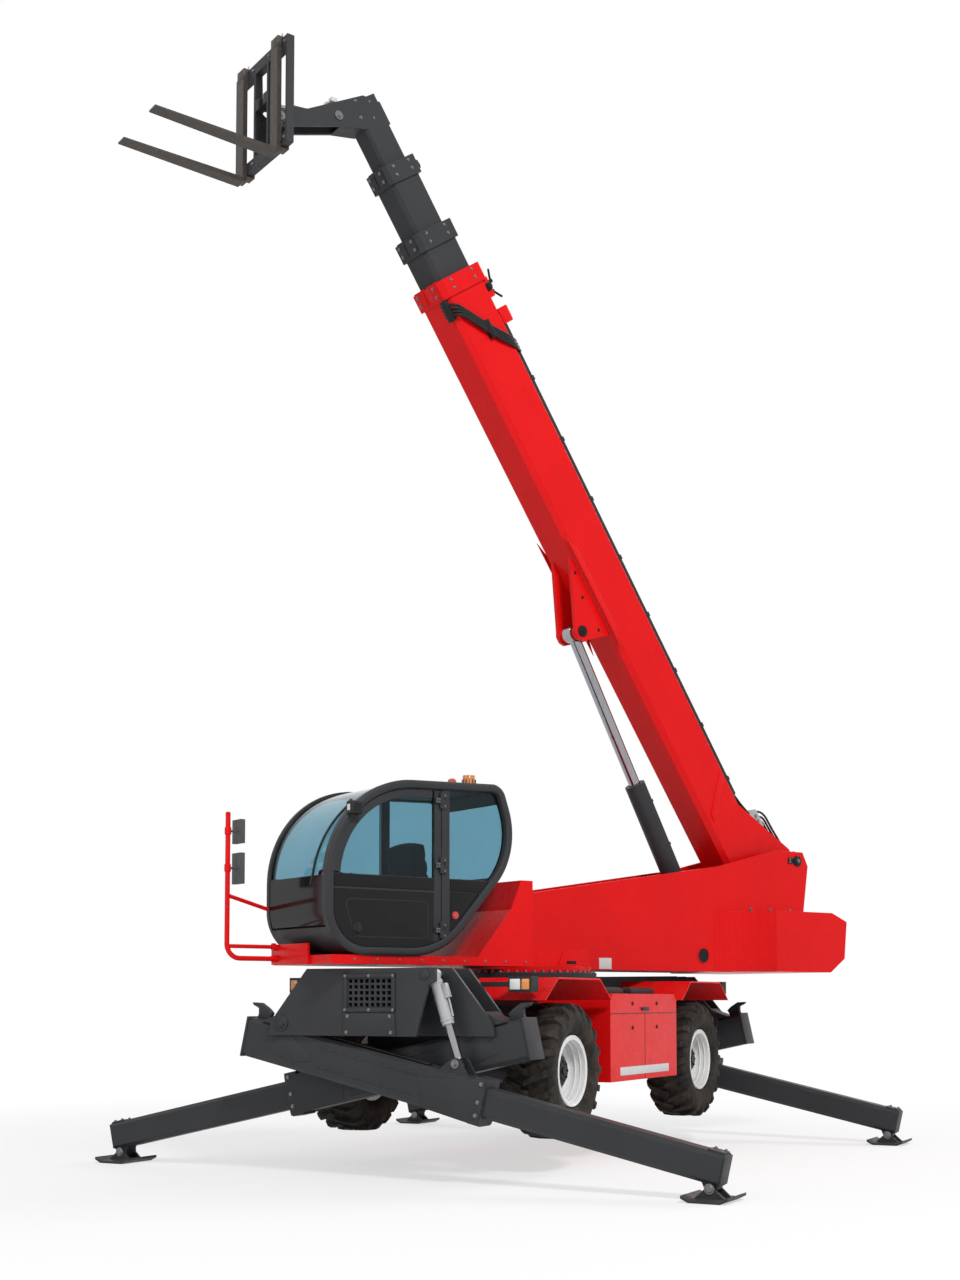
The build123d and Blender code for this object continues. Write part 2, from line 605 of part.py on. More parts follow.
def outrigger_foot():
    """The pad, level on the ground, about the foot pin."""
    half, low = FOOT_LENGTH / 2, -FOOT_PIN_HEIGHT
    toe = low + FOOT_TOE / 2
    plate = [(-half, toe), (-half + FOOT_TOE, low), (half - FOOT_TOE, low), (half, toe),
             (half, toe + FOOT_PLATE), (half - FOOT_TOE, low + FOOT_PLATE),
             (-half + FOOT_TOE, low + FOOT_PLATE), (-half, toe + FOOT_PLATE)]
    body = prism_xz(plate, -FOOT_WIDTH / 2, FOOT_WIDTH / 2)
    inner = LEG_TONGUE / 2 + SEAT_GAP
    cheek = [(-half + FOOT_TOE, low + FOOT_PLATE - 1), (half - FOOT_TOE, low + FOOT_PLATE - 1),
             (2 * FOOT_CHEEK_TOP, FOOT_CHEEK_TOP), (-2 * FOOT_CHEEK_TOP, FOOT_CHEEK_TOP)]
    body += both_sides(prism_xz(cheek, inner, inner + FOOT_CHEEK))
    return body + bar_y(FOOT_PIN_RADIUS, 0, 0, -inner - FOOT_CHEEK, inner + FOOT_CHEEK)


def jack_line():
    """Length and downward angle of the jack in the beam's own plane, as parked."""
    eye_z = BEAM_HEIGHT / 2 - BEAM_OFFSET + JACK_EYE_HEIGHT
    x = JACK_EYE_AT * math.cos(DROP) + eye_z * math.sin(DROP) - (JACK_PIN_Y + PIVOT_Y)
    z = eye_z * math.cos(DROP) - JACK_EYE_AT * math.sin(DROP) - (JACK_PIN_Z - PIVOT_Z)
    return math.hypot(x, z), math.degrees(math.atan2(-z, x))


# Turret

def turret_frame():
    inner = CHANNEL_WIDTH / 2
    x, z, b = BOOM_PIVOT_X, BOOM_PIVOT_Z, TURRET_BOTTOM
    outline = [(TURRET_FRONT, b), (TURRET_FRONT, TURRET_NOSE_TOP), *TURRET_CREST,
               (x + TURRET_HEAD_FRONT, z + TURRET_HEAD), (x - TURRET_HEAD_REAR, z + TURRET_HEAD),
               (TURRET_TAIL, z - TURRET_HEAD / 2), (WEIGHT_SHOULDER, WEIGHT_TOP),
               (WEIGHT_FRONT, WEIGHT_TOP), (WEIGHT_FRONT, b)]
    plate = prism_xz(outline, inner, inner + TURRET_PLATE)
    body = plate + mirror(plate, about=Plane.XZ)
    body += box(WEIGHT_FRONT, TURRET_FRONT, -inner - 1, inner + 1, b, b + TURRET_FLOOR)
    body += box(TURRET_FRONT - TURRET_PLATE, TURRET_FRONT, -inner - 1, inner + 1, b, b + TURRET_SILL)
    body += bar_y(PIVOT_PIN_RADIUS, x, z, -inner - TURRET_PLATE, inner + TURRET_PLATE)
    foot = bar_y(LIFT_PIN_RADIUS, LIFT_FOOT_X, LIFT_FOOT_Z, -inner - 1, inner + 1)
    collar = bar_y(LIFT_BOSS, LIFT_FOOT_X, LIFT_FOOT_Z, LIFT_EYE_WIDTH / 2 + SEAT_GAP, inner + 1)
    body += foot + both_sides(collar)
    body = Pos(0, BOOM_Y, 0) * body
    body += bar(RING_RADIUS, (0, 0, SLEW_PLANE + SEAT_GAP), (0, 0, b + TURRET_FLOOR))
    body += box(FAIRING_REAR, PLATFORM_FRONT, BOOM_Y + inner, CAB_LEFT, b, PLATFORM_TOP)
    fairing = [(FAIRING_REAR, PLATFORM_TOP - 1), (FAIRING_REAR, FAIRING_TOP),
               (FAIRING_REAR + FAIRING_FLAT, FAIRING_TOP),
               (FAIRING_REAR + FAIRING_LENGTH, PLATFORM_TOP + FAIRING_WAIST),
               (FAIRING_REAR + FAIRING_TOE, PLATFORM_TOP - 1)]
    body += prism_xz(fairing, BOOM_Y + inner, CAB_LEFT) - cab_solid(SEAT_GAP)
    return body


def counterweight():
    z0, z1 = TURRET_BOTTOM, WEIGHT_TOP
    outline = [(WEIGHT_FRONT, z0), (WEIGHT_FRONT, z1), (WEIGHT_SHOULDER, z1), (WEIGHT_REAR, z1 - WEIGHT_BEVEL),
               (WEIGHT_REAR + WEIGHT_LEAN, z0 + WEIGHT_HEEL), (WEIGHT_REAR + WEIGHT_UNDERCUT, z0)]
    block = prism_xz(outline, -WEIGHT_HALF_WIDTH, WEIGHT_HALF_WIDTH)
    half = CHANNEL_WIDTH / 2
    block -= box(WEIGHT_REAR - 1, WEIGHT_FRONT + 1, -half, half, BOOM_PIVOT_Z - TAIL_SWING, z1 + 1)
    return Pos(0, BOOM_Y, 0) * block


def cab_profile(inset=0.0):
    """The cab's side outline, an oval of lines and arcs, moved in by `inset`."""
    face = make_face(Polyline(*[(x, z) for x, z, _ in CAB_CORNERS], close=True))
    for x, z, radius in CAB_CORNERS:
        vertex = face.vertices().sort_by_distance((x, z, 0))[0]
        face = fillet(vertex, radius)
    return offset(face, amount=-inset) if inset else face


def cab_prism(inset, y0, y1):
    plane = Plane(origin=(0, y0, 0), x_dir=(1, 0, 0), z_dir=(0, -1, 0))
    return extrude(plane * cab_profile(inset), amount=y1 - y0, dir=(0, 1, 0))


def cab_solid(growth):
    return cab_prism(-growth, CAB_RIGHT - growth, CAB_LEFT + growth)


def windscreen_zone():
    return box(SCREEN_REAR, CAB_FRONT, CAB_RIGHT + CAB_FRAME, CAB_LEFT - CAB_FRAME, SILL_FRONT, SCREEN_TOP)


def rear_zone():
    return box(CAB_BACK, REAR_PANE_FRONT, CAB_RIGHT + CAB_FRAME, CAB_LEFT - CAB_FRAME, BELT, LINTEL)


def side_window(y0, y1, inset, x0, x1, sill):
    return cab_prism(inset, y0, y1) & box(x0, x1, y0, y1, sill, CAB_OVER)


def hinge_stack(y, start):
    return [Solid.make_cylinder(HINGE_RADIUS, HINGE_HEIGHT - SEAT_GAP,
                                Plane((PILLAR_FRONT + HINGE_RADIUS, y, level + start)))
            for level in HINGE_LEVELS]


def cab_shell():
    right, left = CAB_RIGHT, CAB_LEFT
    body = cab_prism(0, right, left) - cab_prism(CAB_WALL, right + CAB_WALL, left - CAB_WALL)
    body -= windscreen_zone()
    body -= rear_zone()
    body -= side_window(left - CAB_WALL - 1, left + 1, CAB_FRAME, PILLAR_FRONT, CAB_FRONT, 0)
    body -= side_window(left - CAB_WALL - 1, left + 1, PANE_EDGE, CAB_BACK, PILLAR_REAR, BELT)
    body -= side_window(right - 1, right + CAB_WALL + 1, PANE_EDGE, PILLAR_FRONT, CAB_FRONT, BELT)
    body -= side_window(right - 1, right + CAB_WALL + 1, PANE_EDGE, CAB_BACK, PILLAR_REAR, BELT)
    for start in (0, 2 * HINGE_HEIGHT):
        for pin in hinge_stack(left + HINGE_RADIUS + HINGE_STAND, start):
            z0, z1 = pin.bounding_box().min.Z, pin.bounding_box().max.Z
            body += pin
            body += box(PILLAR_FRONT - 40, PILLAR_FRONT, left - 1, left + HINGE_RADIUS + HINGE_STAND, z0, z1)
            body += box(PILLAR_FRONT - 1, PILLAR_FRONT + HINGE_RADIUS, left + HINGE_STAND,
                        left + HINGE_RADIUS + HINGE_STAND, z0, z1)
    return body


def cab_glass():
    right, left = CAB_RIGHT, CAB_LEFT
    skin = cab_prism(GLASS_INSET, right, left) - cab_prism(GLASS_INSET + GLASS, right - 1, left + 1)
    panes = [skin & windscreen_zone(), skin & rear_zone()]
    for y0, inset, x0, x1 in ((left - GLASS_INSET - GLASS, PANE_EDGE, CAB_BACK, PILLAR_REAR),
                              (right + GLASS_INSET, PANE_EDGE, PILLAR_FRONT, CAB_FRONT),
                              (right + GLASS_INSET, PANE_EDGE, CAB_BACK, PILLAR_REAR)):
        panes.append(side_window(y0, y0 + GLASS, inset, x0, x1, BELT))
    return [solid for pane in panes for solid in pane.solids()]


def door_frame():
    left = CAB_LEFT
    panel = side_window(left - DOOR_DEPTH, left, CAB_FRAME + DOOR_GAP, PILLAR_FRONT + DOOR_GAP, CAB_FRONT, 0)
    panel -= side_window(left - CAB_WALL, left + 1, CAB_FRAME + DOOR_STILE, PILLAR_FRONT + DOOR_STILE,
                         CAB_FRONT, BELT)
    for pin in hinge_stack(left + HINGE_RADIUS + HINGE_STAND, HINGE_HEIGHT):
        z0, z1 = pin.bounding_box().min.Z, pin.bounding_box().max.Z
        panel += pin
        panel += box(PILLAR_FRONT + HINGE_RADIUS, PILLAR_FRONT + 70, left - 1,
                     left + HINGE_RADIUS + HINGE_STAND, z0, z1)
    return panel


def door_glass():
    y0 = CAB_LEFT - GLASS_INSET - GLASS
    return side_window(y0, y0 + GLASS, CAB_FRAME + DOOR_STILE, PILLAR_FRONT + DOOR_STILE, CAB_FRONT, BELT)


def cab_interior():
    """Seat, console and steering column on the cab's floor."""
    floor = PLATFORM_TOP + CAB_WALL
    middle = (CAB_RIGHT + CAB_LEFT) / 2
    half, x0, x1, top = SEAT_WIDTH / 2, SEAT_REAR, SEAT_FRONT, floor + SEAT_HEIGHT
    seat = box(x0 + half, x1 - 60, middle - 0.6 * half, middle + 0.6 * half, floor, top)
    cushion = [(x0, top - 1), (x1 - 20, top - 1), (x1, top + 70), (x1 - 40, top + 130), (x0, top + 110)]
    seat += prism_xz(cushion, middle - half, middle + half)
    back = [(x0, top + 40), (x0 + 120, top + 40), (x0 + 50, top + BACK_HEIGHT - 40),
            (x0 - 40, top + BACK_HEIGHT), (x0 - 80, top + BACK_HEIGHT - 40)]
    seat += prism_xz(back, middle - half + 10, middle + half - 10)
    high = floor + COLUMN_HEIGHT
    column = prism_xz([(COLUMN_X - 80, floor), (COLUMN_X + 90, floor), (COLUMN_X + 40, high), (COLUMN_X - 40, high)],
                      middle - 90, middle + 90)
    tilt = Plane((COLUMN_X - 20, middle, high + 30), x_dir=(0, 1, 0), z_dir=WHEEL_LEAN)
    column += Solid.make_cylinder(40, 60, Plane((COLUMN_X, middle, high - 20), z_dir=tilt.z_dir))
    rim_bar = Solid.make_torus(STEERING_RADIUS, 16, tilt)
    rim_bar += bar(14, tilt.origin + tilt.x_dir * STEERING_RADIUS, tilt.origin - tilt.x_dir * STEERING_RADIUS)
    column += rim_bar
    column += Solid.make_cylinder(40, 30, Plane(tilt.origin - tilt.z_dir * 15, z_dir=tilt.z_dir))
    return [seat.solid(), column.solid()]


def guard_rail():
    """The post that stands out in front of the cab on a bent bar."""
    route = FilletPolyline((PLATFORM_FRONT, RAIL_Y, RAIL_LOW), (RAIL_X, RAIL_Y, RAIL_LOW),
                           (RAIL_X, RAIL_Y, RAIL_TOP), radius=RAIL_BEND)
    return sweep(Plane(origin=route @ 0, z_dir=route % 0) * Circle(RAIL_RADIUS), path=route)


def mirrors():
    heads = []
    back = RAIL_X - RAIL_RADIUS
    for z, half in zip(MIRROR_LEVELS, MIRROR_HALF_HEIGHTS):
        stalk = bar(MIRROR_STALK, (back - MIRROR_OFFSET - 2, RAIL_Y, z), (back, RAIL_Y, z))
        head = box(back - MIRROR_OFFSET - MIRROR_DEPTH, back - MIRROR_OFFSET, RAIL_Y - MIRROR_HALF_WIDTH,
                   RAIL_Y + MIRROR_HALF_WIDTH, z - half, z + half)
        heads.append((head + stalk).solid())
    return heads


def beacon():
    x, y = BEACON_X, CAB_LEFT - BEACON_INSET
    z = cab_top(x - BEACON_RADIUS)
    return bar(BEACON_RADIUS, (x, y, z), (x, y, z + BEACON_HEIGHT))


def cab_top(x):
    """Height of the cab's roof line at x, on the straight run between its two upper corners."""
    (x1, z1, _), (x0, z0, _) = CAB_CORNERS[3:5]
    return z0 + (x - x0) * (z1 - z0) / (x1 - x0)


# Boom

def boom_base():
    drop, w = BOOM_AXIS_DROP, BASE_WIDTH / 2
    inner_w, inner_h = BASE_WIDTH - 2 * BASE_WALL, BASE_HEIGHT - 2 * BASE_WALL
    body = section(BASE_WIDTH, BASE_HEIGHT, BASE_CHAMFER, drop, BASE_TAIL, BASE_TIP)
    body += section(BASE_WIDTH + 2 * TIP_COLLAR, BASE_HEIGHT + 2 * TIP_COLLAR, BASE_CHAMFER, drop,
                    BASE_TIP - TIP_COLLAR_LENGTH, BASE_TIP)
    bottom, top = -drop - BASE_HEIGHT / 2, -drop + BASE_HEIGHT / 2
    lug = [(BASE_TAIL, -drop), (BASE_TAIL, -60), (-PIVOT_LUG * 0.6, PIVOT_LUG), (PIVOT_LUG * 0.6, PIVOT_LUG),
           (900, top - BASE_CHAMFER - 1), (900, -drop)]
    body += prism_xz(lug, -w, w)
    body += bar_y(PIVOT_BOSS, 0, 0, SEAT_GAP - CHANNEL_WIDTH / 2, CHANNEL_WIDTH / 2 - SEAT_GAP)
    body -= bar_y(PIVOT_PIN_RADIUS + SEAT_GAP, 0, 0, -CHANNEL_WIDTH, CHANNEL_WIDTH)
    depth = -LIFT_EYE_DEPTH
    e = LIFT_EYE_RADIUS
    cheek = [(LIFT_EYE_AT - LIFT_LUG_REAR, bottom + 1), (LIFT_EYE_AT - e, depth - e * 0.6),
             (LIFT_EYE_AT - e * 0.4, depth - e), (LIFT_EYE_AT + e * 0.4, depth - e),
             (LIFT_EYE_AT + e, depth - e * 0.6), (LIFT_EYE_AT + LIFT_LUG_FRONT, bottom + 1)]
    near = LIFT_BARREL_RADIUS + BARREL_ROOM
    side = prism_xz(cheek, near, near + LIFT_CHEEK)
    side += bar_y(LIFT_BOSS, LIFT_EYE_AT, depth, LIFT_EYE_WIDTH / 2 + SEAT_GAP, near + 1)
    body += both_sides(side)
    body -= section(inner_w, inner_h, BASE_CHAMFER, drop, BASE_TAIL + BASE_WALL, BASE_TIP - WEAR_PAD)
    return body - section(STAGE_WIDTHS[0] + 2 * SEAT_GAP, STAGE_HEIGHTS[0] + 2 * SEAT_GAP, STAGE_CHAMFERS[0],
                          drop, BASE_TIP - WEAR_PAD - 1, BASE_TIP + 1)


def stage_tube(index):
    """One inner section: a tube with rear wear pads, and a collar where the next one comes out."""
    tip, length = STAGE_TIPS[index], STAGE_LENGTHS[index]
    width, height = STAGE_WIDTHS[index], STAGE_HEIGHTS[index]
    wall, edge, drop = STAGE_WALLS[index], STAGE_CHAMFERS[index], BOOM_AXIS_DROP
    if index:
        room_w = STAGE_WIDTHS[index - 1] - 2 * STAGE_WALLS[index - 1]
        room_h = STAGE_HEIGHTS[index - 1] - 2 * STAGE_WALLS[index - 1]
        room_edge = STAGE_CHAMFERS[index - 1]
    else:
        room_w, room_h, room_edge = BASE_WIDTH - 2 * BASE_WALL, BASE_HEIGHT - 2 * BASE_WALL, BASE_CHAMFER
    body = section(width, height, edge, drop, tip - length, tip)
    body += section(room_w - 2 * SEAT_GAP, room_h - 2 * SEAT_GAP, room_edge, drop,
                    tip - length, tip - length + WEAR_PAD)
    last = index == len(STAGE_TIPS) - 1
    if not last:
        body += section(width + 2 * TIP_COLLAR, height + 2 * TIP_COLLAR, edge, drop, tip - TIP_COLLAR_LENGTH, tip)
    body -= section(width - 2 * wall, height - 2 * wall, edge, drop, tip - length - 1, tip - WEAR_PAD)
    if not last:
        body -= section(STAGE_WIDTHS[index + 1] + 2 * SEAT_GAP, STAGE_HEIGHTS[index + 1] + 2 * SEAT_GAP,
                        STAGE_CHAMFERS[index + 1], drop, tip - WEAR_PAD - 1, tip + 1)
    return body


def level_point(back, up):
    """A point near the nose pivot, given level at the parked boom angle, in the boom's frame."""
    angle = math.radians(BOOM_ANGLE)
    x = NOSE_PIVOT_X - back * math.cos(angle) + up * math.sin(angle)
    z = NOSE_PIVOT_Z + back * math.sin(angle) + up * math.cos(angle)
    return x, z


def boom_stage_3():
    tip = STAGE_TIPS[2]
    drop, h = BOOM_AXIS_DROP, STAGE_HEIGHTS[2] / 2
    px, pz, r = NOSE_PIVOT_X, NOSE_PIVOT_Z, NOSE_TIP_RADIUS
    body = stage_tube(2)
    outline = [(tip - NOSE_ROOT, h - drop), (tip - 90, h - drop), (tip + 20, -drop), level_point(NOSE_BROW, 180),
               level_point(0, r), level_point(-r, 0), level_point(0, -r), level_point(r, -r),
               (tip - NOSE_ROOT / 2, -drop - NOSE_CHIN), (tip - NOSE_ROOT + 40, -drop - h)]
    block = prism_xz(outline, -NOSE_HALF_WIDTH, NOSE_HALF_WIDTH)
    inner = NOSE_HALF_WIDTH - NOSE_PLATE
    foot = level_point(TILT_FOOT_BACK, TILT_FOOT_UP)
    back, up = TILT_FOOT_BACK, TILT_FOOT_UP
    channel = [level_point(back + 90, up - 60), level_point(back + 90, up + 70), level_point(back - 180, up + 260),
               level_point(-2 * r, up + 260), level_point(-2 * r, -2 * r), level_point(2 * r, -2 * r),
               level_point(back / 2, -r / 3)]
    block -= prism_xz(channel, -inner, inner)
    body += block
    body -= section(STAGE_WIDTHS[2] - 2 * STAGE_WALLS[2], STAGE_HEIGHTS[2] - 2 * STAGE_WALLS[2],
                    STAGE_CHAMFERS[2], drop, tip - STAGE_LENGTHS[2] - 1, tip - NOSE_ROOT - 20)
    body += bar_y(TILT_PIN_RADIUS, *foot, -inner - 1, inner + 1)
    spacer = bar_y(TILT_CHEEK, *foot, TILT_EYE_WIDTH / 2 + SEAT_GAP, inner + 1)
    body += both_sides(spacer)
    return body - bar_y(CARRIAGE_PIN_RADIUS + SEAT_GAP, px, pz, -BASE_WIDTH, BASE_WIDTH)


# Fork carriage and forks, level about the nose pivot

def fork_carriage():
    x0, x1, w = CARRIAGE_REAR, CARRIAGE_REAR + CARRIAGE_DEPTH, CARRIAGE_HALF_WIDTH
    top, low, bar_height = CARRIAGE_TOP, CARRIAGE_BOTTOM, CARRIAGE_BAR
    body = box(x0, x1, -w, w, top - bar_height, top) + box(x0, x1, -w, w, low, low + bar_height)
    ear0 = NOSE_HALF_WIDTH + SEAT_GAP
    ear1 = ear0 + CARRIAGE_EAR
    ear = [(-NOSE_TIP_RADIUS, -20), (-20, -NOSE_TIP_RADIUS), (x0 + 1, low), (x1, low), (x1, top), (x0, top),
           (x0 - 10, NOSE_TIP_RADIUS + 40), (-20, NOSE_TIP_RADIUS), (-NOSE_TIP_RADIUS, 20)]
    half = prism_xz(ear, ear0, ear1)
    half += box(x0, x1, w - CARRIAGE_EAR, w, low, top)
    near = TILT_EYE_WIDTH / 2 + BARREL_ROOM
    half += box(x0, x1, near, ear1, TILT_EYE_UP - TILT_SEAT, TILT_EYE_UP + TILT_SEAT)
    e = TILT_EYE_RADIUS
    cheek = [(x0 + 1, TILT_EYE_UP - TILT_SEAT), (x0 + 1, TILT_EYE_UP + TILT_SEAT), (-e * 0.4, TILT_EYE_UP + e),
             (-e, TILT_EYE_UP + e * 0.5), (-e, TILT_EYE_UP - e * 0.5), (-e * 0.4, TILT_EYE_UP - e)]
    half += prism_xz(cheek, near, near + TILT_CHEEK)
    half += bar_y(TILT_CHEEK, 0, TILT_EYE_UP, TILT_EYE_WIDTH / 2 + SEAT_GAP, near + 1)
    body += both_sides(half)
    return body + bar_y(CARRIAGE_PIN_RADIUS, 0, 0, -ear1, ear1)


def fork_blades():
    x0 = CARRIAGE_REAR + CARRIAGE_DEPTH
    t, low = FORK_THICKNESS, FORK_BOTTOM
    tip = x0 + FORK_LENGTH + t
    outline = [(x0, FORK_SHANK_TOP), (x0, low + t * 0.6), (x0 + t * 0.6, low), (tip, low + t - FORK_TIP),
               (tip, low + t), (x0 + t, low + t), (x0 + t, FORK_SHANK_TOP)]
    blade = prism_xz(outline, FORK_SPREAD - FORK_WIDTH / 2, FORK_SPREAD + FORK_WIDTH / 2)
    return [blade, mirror(blade, about=Plane.XZ)]


# Cylinders' frames, as parked

def lift_line():
    angle = math.radians(BOOM_ANGLE)
    x = BOOM_PIVOT_X + LIFT_EYE_AT * math.cos(angle) + LIFT_EYE_DEPTH * math.sin(angle) - LIFT_FOOT_X
    z = BOOM_PIVOT_Z + LIFT_EYE_AT * math.sin(angle) - LIFT_EYE_DEPTH * math.cos(angle) - LIFT_FOOT_Z
    return math.hypot(x, z), math.degrees(math.atan2(z, x))


def tilt_line():
    x, z = TILT_FOOT_BACK, TILT_EYE_UP - TILT_FOOT_UP
    return math.hypot(x, z), math.degrees(math.atan2(z, x))


def main():
    os.makedirs("parts", exist_ok=True)
    save("chassis_frame", chassis_frame(), CHASSIS)
    save("side_cabinet_left", side_body(), CHASSIS)
    save("engine_hood_right", engine_hood(), CHASSIS)
    save("engine_block", engine_block(), CHASSIS)
    save("fenders", fenders(), CHASSIS)
    save("axles", axles(), CHASSIS)
    save("lamps", lamps(), CHASSIS)
    shapes = {"knuckle": knuckle(), "rim": rim(), "tyre": tyre()}
    for corner, (end, side) in WHEELS.items():
        hub = CHASSIS * Pos(end * WHEELBASE / 2, side * WHEEL_Y, TYRE_RADIUS) * Rot(0, 0, 0 if side > 0 else 180)
        for name, shape in shapes.items():
            save(f"{name}_{corner}", shape, hub)
    jack_length, jack_angle = jack_line()
    beam, leg, foot = outrigger_beam(), outrigger_leg(), outrigger_foot()
    jack_body = barrel(JACK_BARREL_RADIUS, JACK_BARREL_LENGTH, JACK_ROD_RADIUS, JACK_CAP, JACK_EYE_RADIUS,
                       JACK_EYE_WIDTH, JACK_PIN_RADIUS)
    jack_rod = rod(JACK_ROD_RADIUS, JACK_ROD_LENGTH, jack_length, JACK_EYE_RADIUS, JACK_EYE_WIDTH, JACK_PIN_RADIUS)
    for corner, place in CORNERS.items():
        swung = CHASSIS * place * Rot(0, BEAM_DROP, 0)
        jack = CHASSIS * place * Pos(JACK_PIN_Y + PIVOT_Y, 0, JACK_PIN_Z - PIVOT_Z) * Rot(0, jack_angle, 0)
        save(f"outrigger_beam_{corner}", beam, swung)
        save(f"outrigger_leg_{corner}", leg, swung)
        save(f"outrigger_foot_{corner}", foot, swung * Pos(FOOT_AT, 0, -FOOT_DEPTH) * Rot(0, -BEAM_DROP, 0))
        save(f"jack_barrel_{corner}", jack_body, jack)
        save(f"jack_rod_{corner}", jack_rod, jack)
    save("turret_frame", turret_frame(), TURRET)
    save("counterweight", counterweight(), TURRET)
    save("cab_shell", cab_shell(), TURRET)
    save("cab_glass", cab_glass(), TURRET)
    save("cab_interior", cab_interior(), TURRET)
    save("guard_rail", guard_rail(), TURRET)
    save("mirrors", mirrors(), TURRET)
    save("beacon", beacon(), TURRET)
    save("door_frame", door_frame(), TURRET)
    save("door_glass", door_glass(), TURRET)
    save("boom_base", boom_base(), BOOM)
    save("boom_stage_1", stage_tube(0), BOOM)
    save("boom_stage_2", stage_tube(1), BOOM)
    save("boom_stage_3", boom_stage_3(), BOOM)
    lift_length, lift_angle = lift_line()
    lift = TURRET * Pos(LIFT_FOOT_X, BOOM_Y, LIFT_FOOT_Z) * Rot(0, -lift_angle, 0)
    save("lift_barrel", barrel(LIFT_BARREL_RADIUS, LIFT_BARREL_LENGTH, LIFT_ROD_RADIUS, LIFT_CAP, LIFT_EYE_RADIUS,
                               LIFT_EYE_WIDTH, LIFT_PIN_RADIUS), lift)
    save("lift_rod", rod(LIFT_ROD_RADIUS, LIFT_ROD_LENGTH, lift_length, LIFT_EYE_RADIUS, LIFT_EYE_WIDTH,
                         LIFT_PIN_RADIUS), lift)
    tilt_length, tilt_angle = tilt_line()
    tilt = CARRIAGE * Pos(-TILT_FOOT_BACK, 0, TILT_FOOT_UP) * Rot(0, -tilt_angle, 0)
    save("tilt_barrel", barrel(TILT_BARREL_RADIUS, TILT_BARREL_LENGTH, TILT_ROD_RADIUS, TILT_CAP, TILT_EYE_RADIUS,
                               TILT_EYE_WIDTH, TILT_PIN_RADIUS), tilt)
    save("tilt_rod", rod(TILT_ROD_RADIUS, TILT_ROD_LENGTH, tilt_length, TILT_EYE_RADIUS, TILT_EYE_WIDTH,
                         TILT_PIN_RADIUS), tilt)
    save("fork_carriage", fork_carriage(), CARRIAGE)
    save("fork_blades", fork_blades(), CARRIAGE)


if __name__ == "__main__":
    main()
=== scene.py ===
import json
import math

import bmesh
import bpy
from mathutils import Matrix, Vector


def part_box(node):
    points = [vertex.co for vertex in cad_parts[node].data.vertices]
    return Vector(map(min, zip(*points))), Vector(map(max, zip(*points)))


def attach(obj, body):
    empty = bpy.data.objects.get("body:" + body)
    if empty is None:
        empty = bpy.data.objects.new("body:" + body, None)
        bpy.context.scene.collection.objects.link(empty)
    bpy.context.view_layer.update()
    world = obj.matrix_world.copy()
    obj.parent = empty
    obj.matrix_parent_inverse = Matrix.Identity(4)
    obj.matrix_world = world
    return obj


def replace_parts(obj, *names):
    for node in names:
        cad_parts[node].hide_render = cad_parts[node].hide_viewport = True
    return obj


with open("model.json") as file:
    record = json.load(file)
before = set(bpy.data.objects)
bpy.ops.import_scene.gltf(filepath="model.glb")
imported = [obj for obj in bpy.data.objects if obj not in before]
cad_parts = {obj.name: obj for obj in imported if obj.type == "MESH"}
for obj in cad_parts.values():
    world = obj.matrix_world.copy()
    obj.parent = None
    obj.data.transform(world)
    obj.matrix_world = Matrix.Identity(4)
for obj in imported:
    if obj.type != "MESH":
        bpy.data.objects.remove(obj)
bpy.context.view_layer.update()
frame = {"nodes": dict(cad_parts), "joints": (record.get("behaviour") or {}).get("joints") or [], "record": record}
joints = {joint["name"]: joint for joint in frame["joints"]}
CORNERS = ("fl", "fr", "rl", "rr")
SIDES = (1, -1)

# Camera: its place in metres, its angles in degrees, its lens in millimetres
CAMERA_PLACE = (14.1615, 6.8958, 1.4635)
CAMERA_YAW = -152.29
CAMERA_PITCH = 3.68
CAMERA_LENS = 45.54
CAMERA_SHIFT = 0.20

# Sizes of the wheels, in metres like all that follow
WHEEL_RADIUS = 0.58
RIM_RADIUS = 0.28
RIM_HALF_WIDTH = 0.178
DISC_INSET = 0.19
HUB_RADIUS = 0.15
HUB_LENGTH = 0.095
LUG_COUNT = 20
LUG_HEIGHT = 0.045

# Outrigger beams, and the pins in the carriers as (y, z)
BEAM_TOP, BEAM_LOW, BEAM_HALF, BEAM_SKIN = -0.031, -0.361, 0.12, 0.004
CARRIER_FACE = 2.955
BEAM_PIN, JACK_PIN = (-0.86, 0.99), (0.51, 1.388)

# Boom sections as (body, tip, width, height), and the lift cylinder's eye as (x, z) in the boom's frame
BOOM_DROP = 0.48
BASE_WIDTH, BASE_HEIGHT, BASE_TIP = 0.43, 0.56, 7.0
BOOM_TOP, BOOM_LOW = BASE_HEIGHT / 2 - BOOM_DROP, -BASE_HEIGHT / 2 - BOOM_DROP
CHANNEL_HALF = 0.35
STAGES = (("stage_1", 7.47, 0.34, 0.47), ("stage_2", 8.13, 0.28, 0.385))
COLLAR = 0.025
LIFT_EYE = (3.42, -1.06)
TRAY_CLIPS, TRAY_PITCH = 9, 0.66
CARRIAGE_TOP, CARRIAGE_BOTTOM, FORK_Y = 0.55, -0.42, 0.315

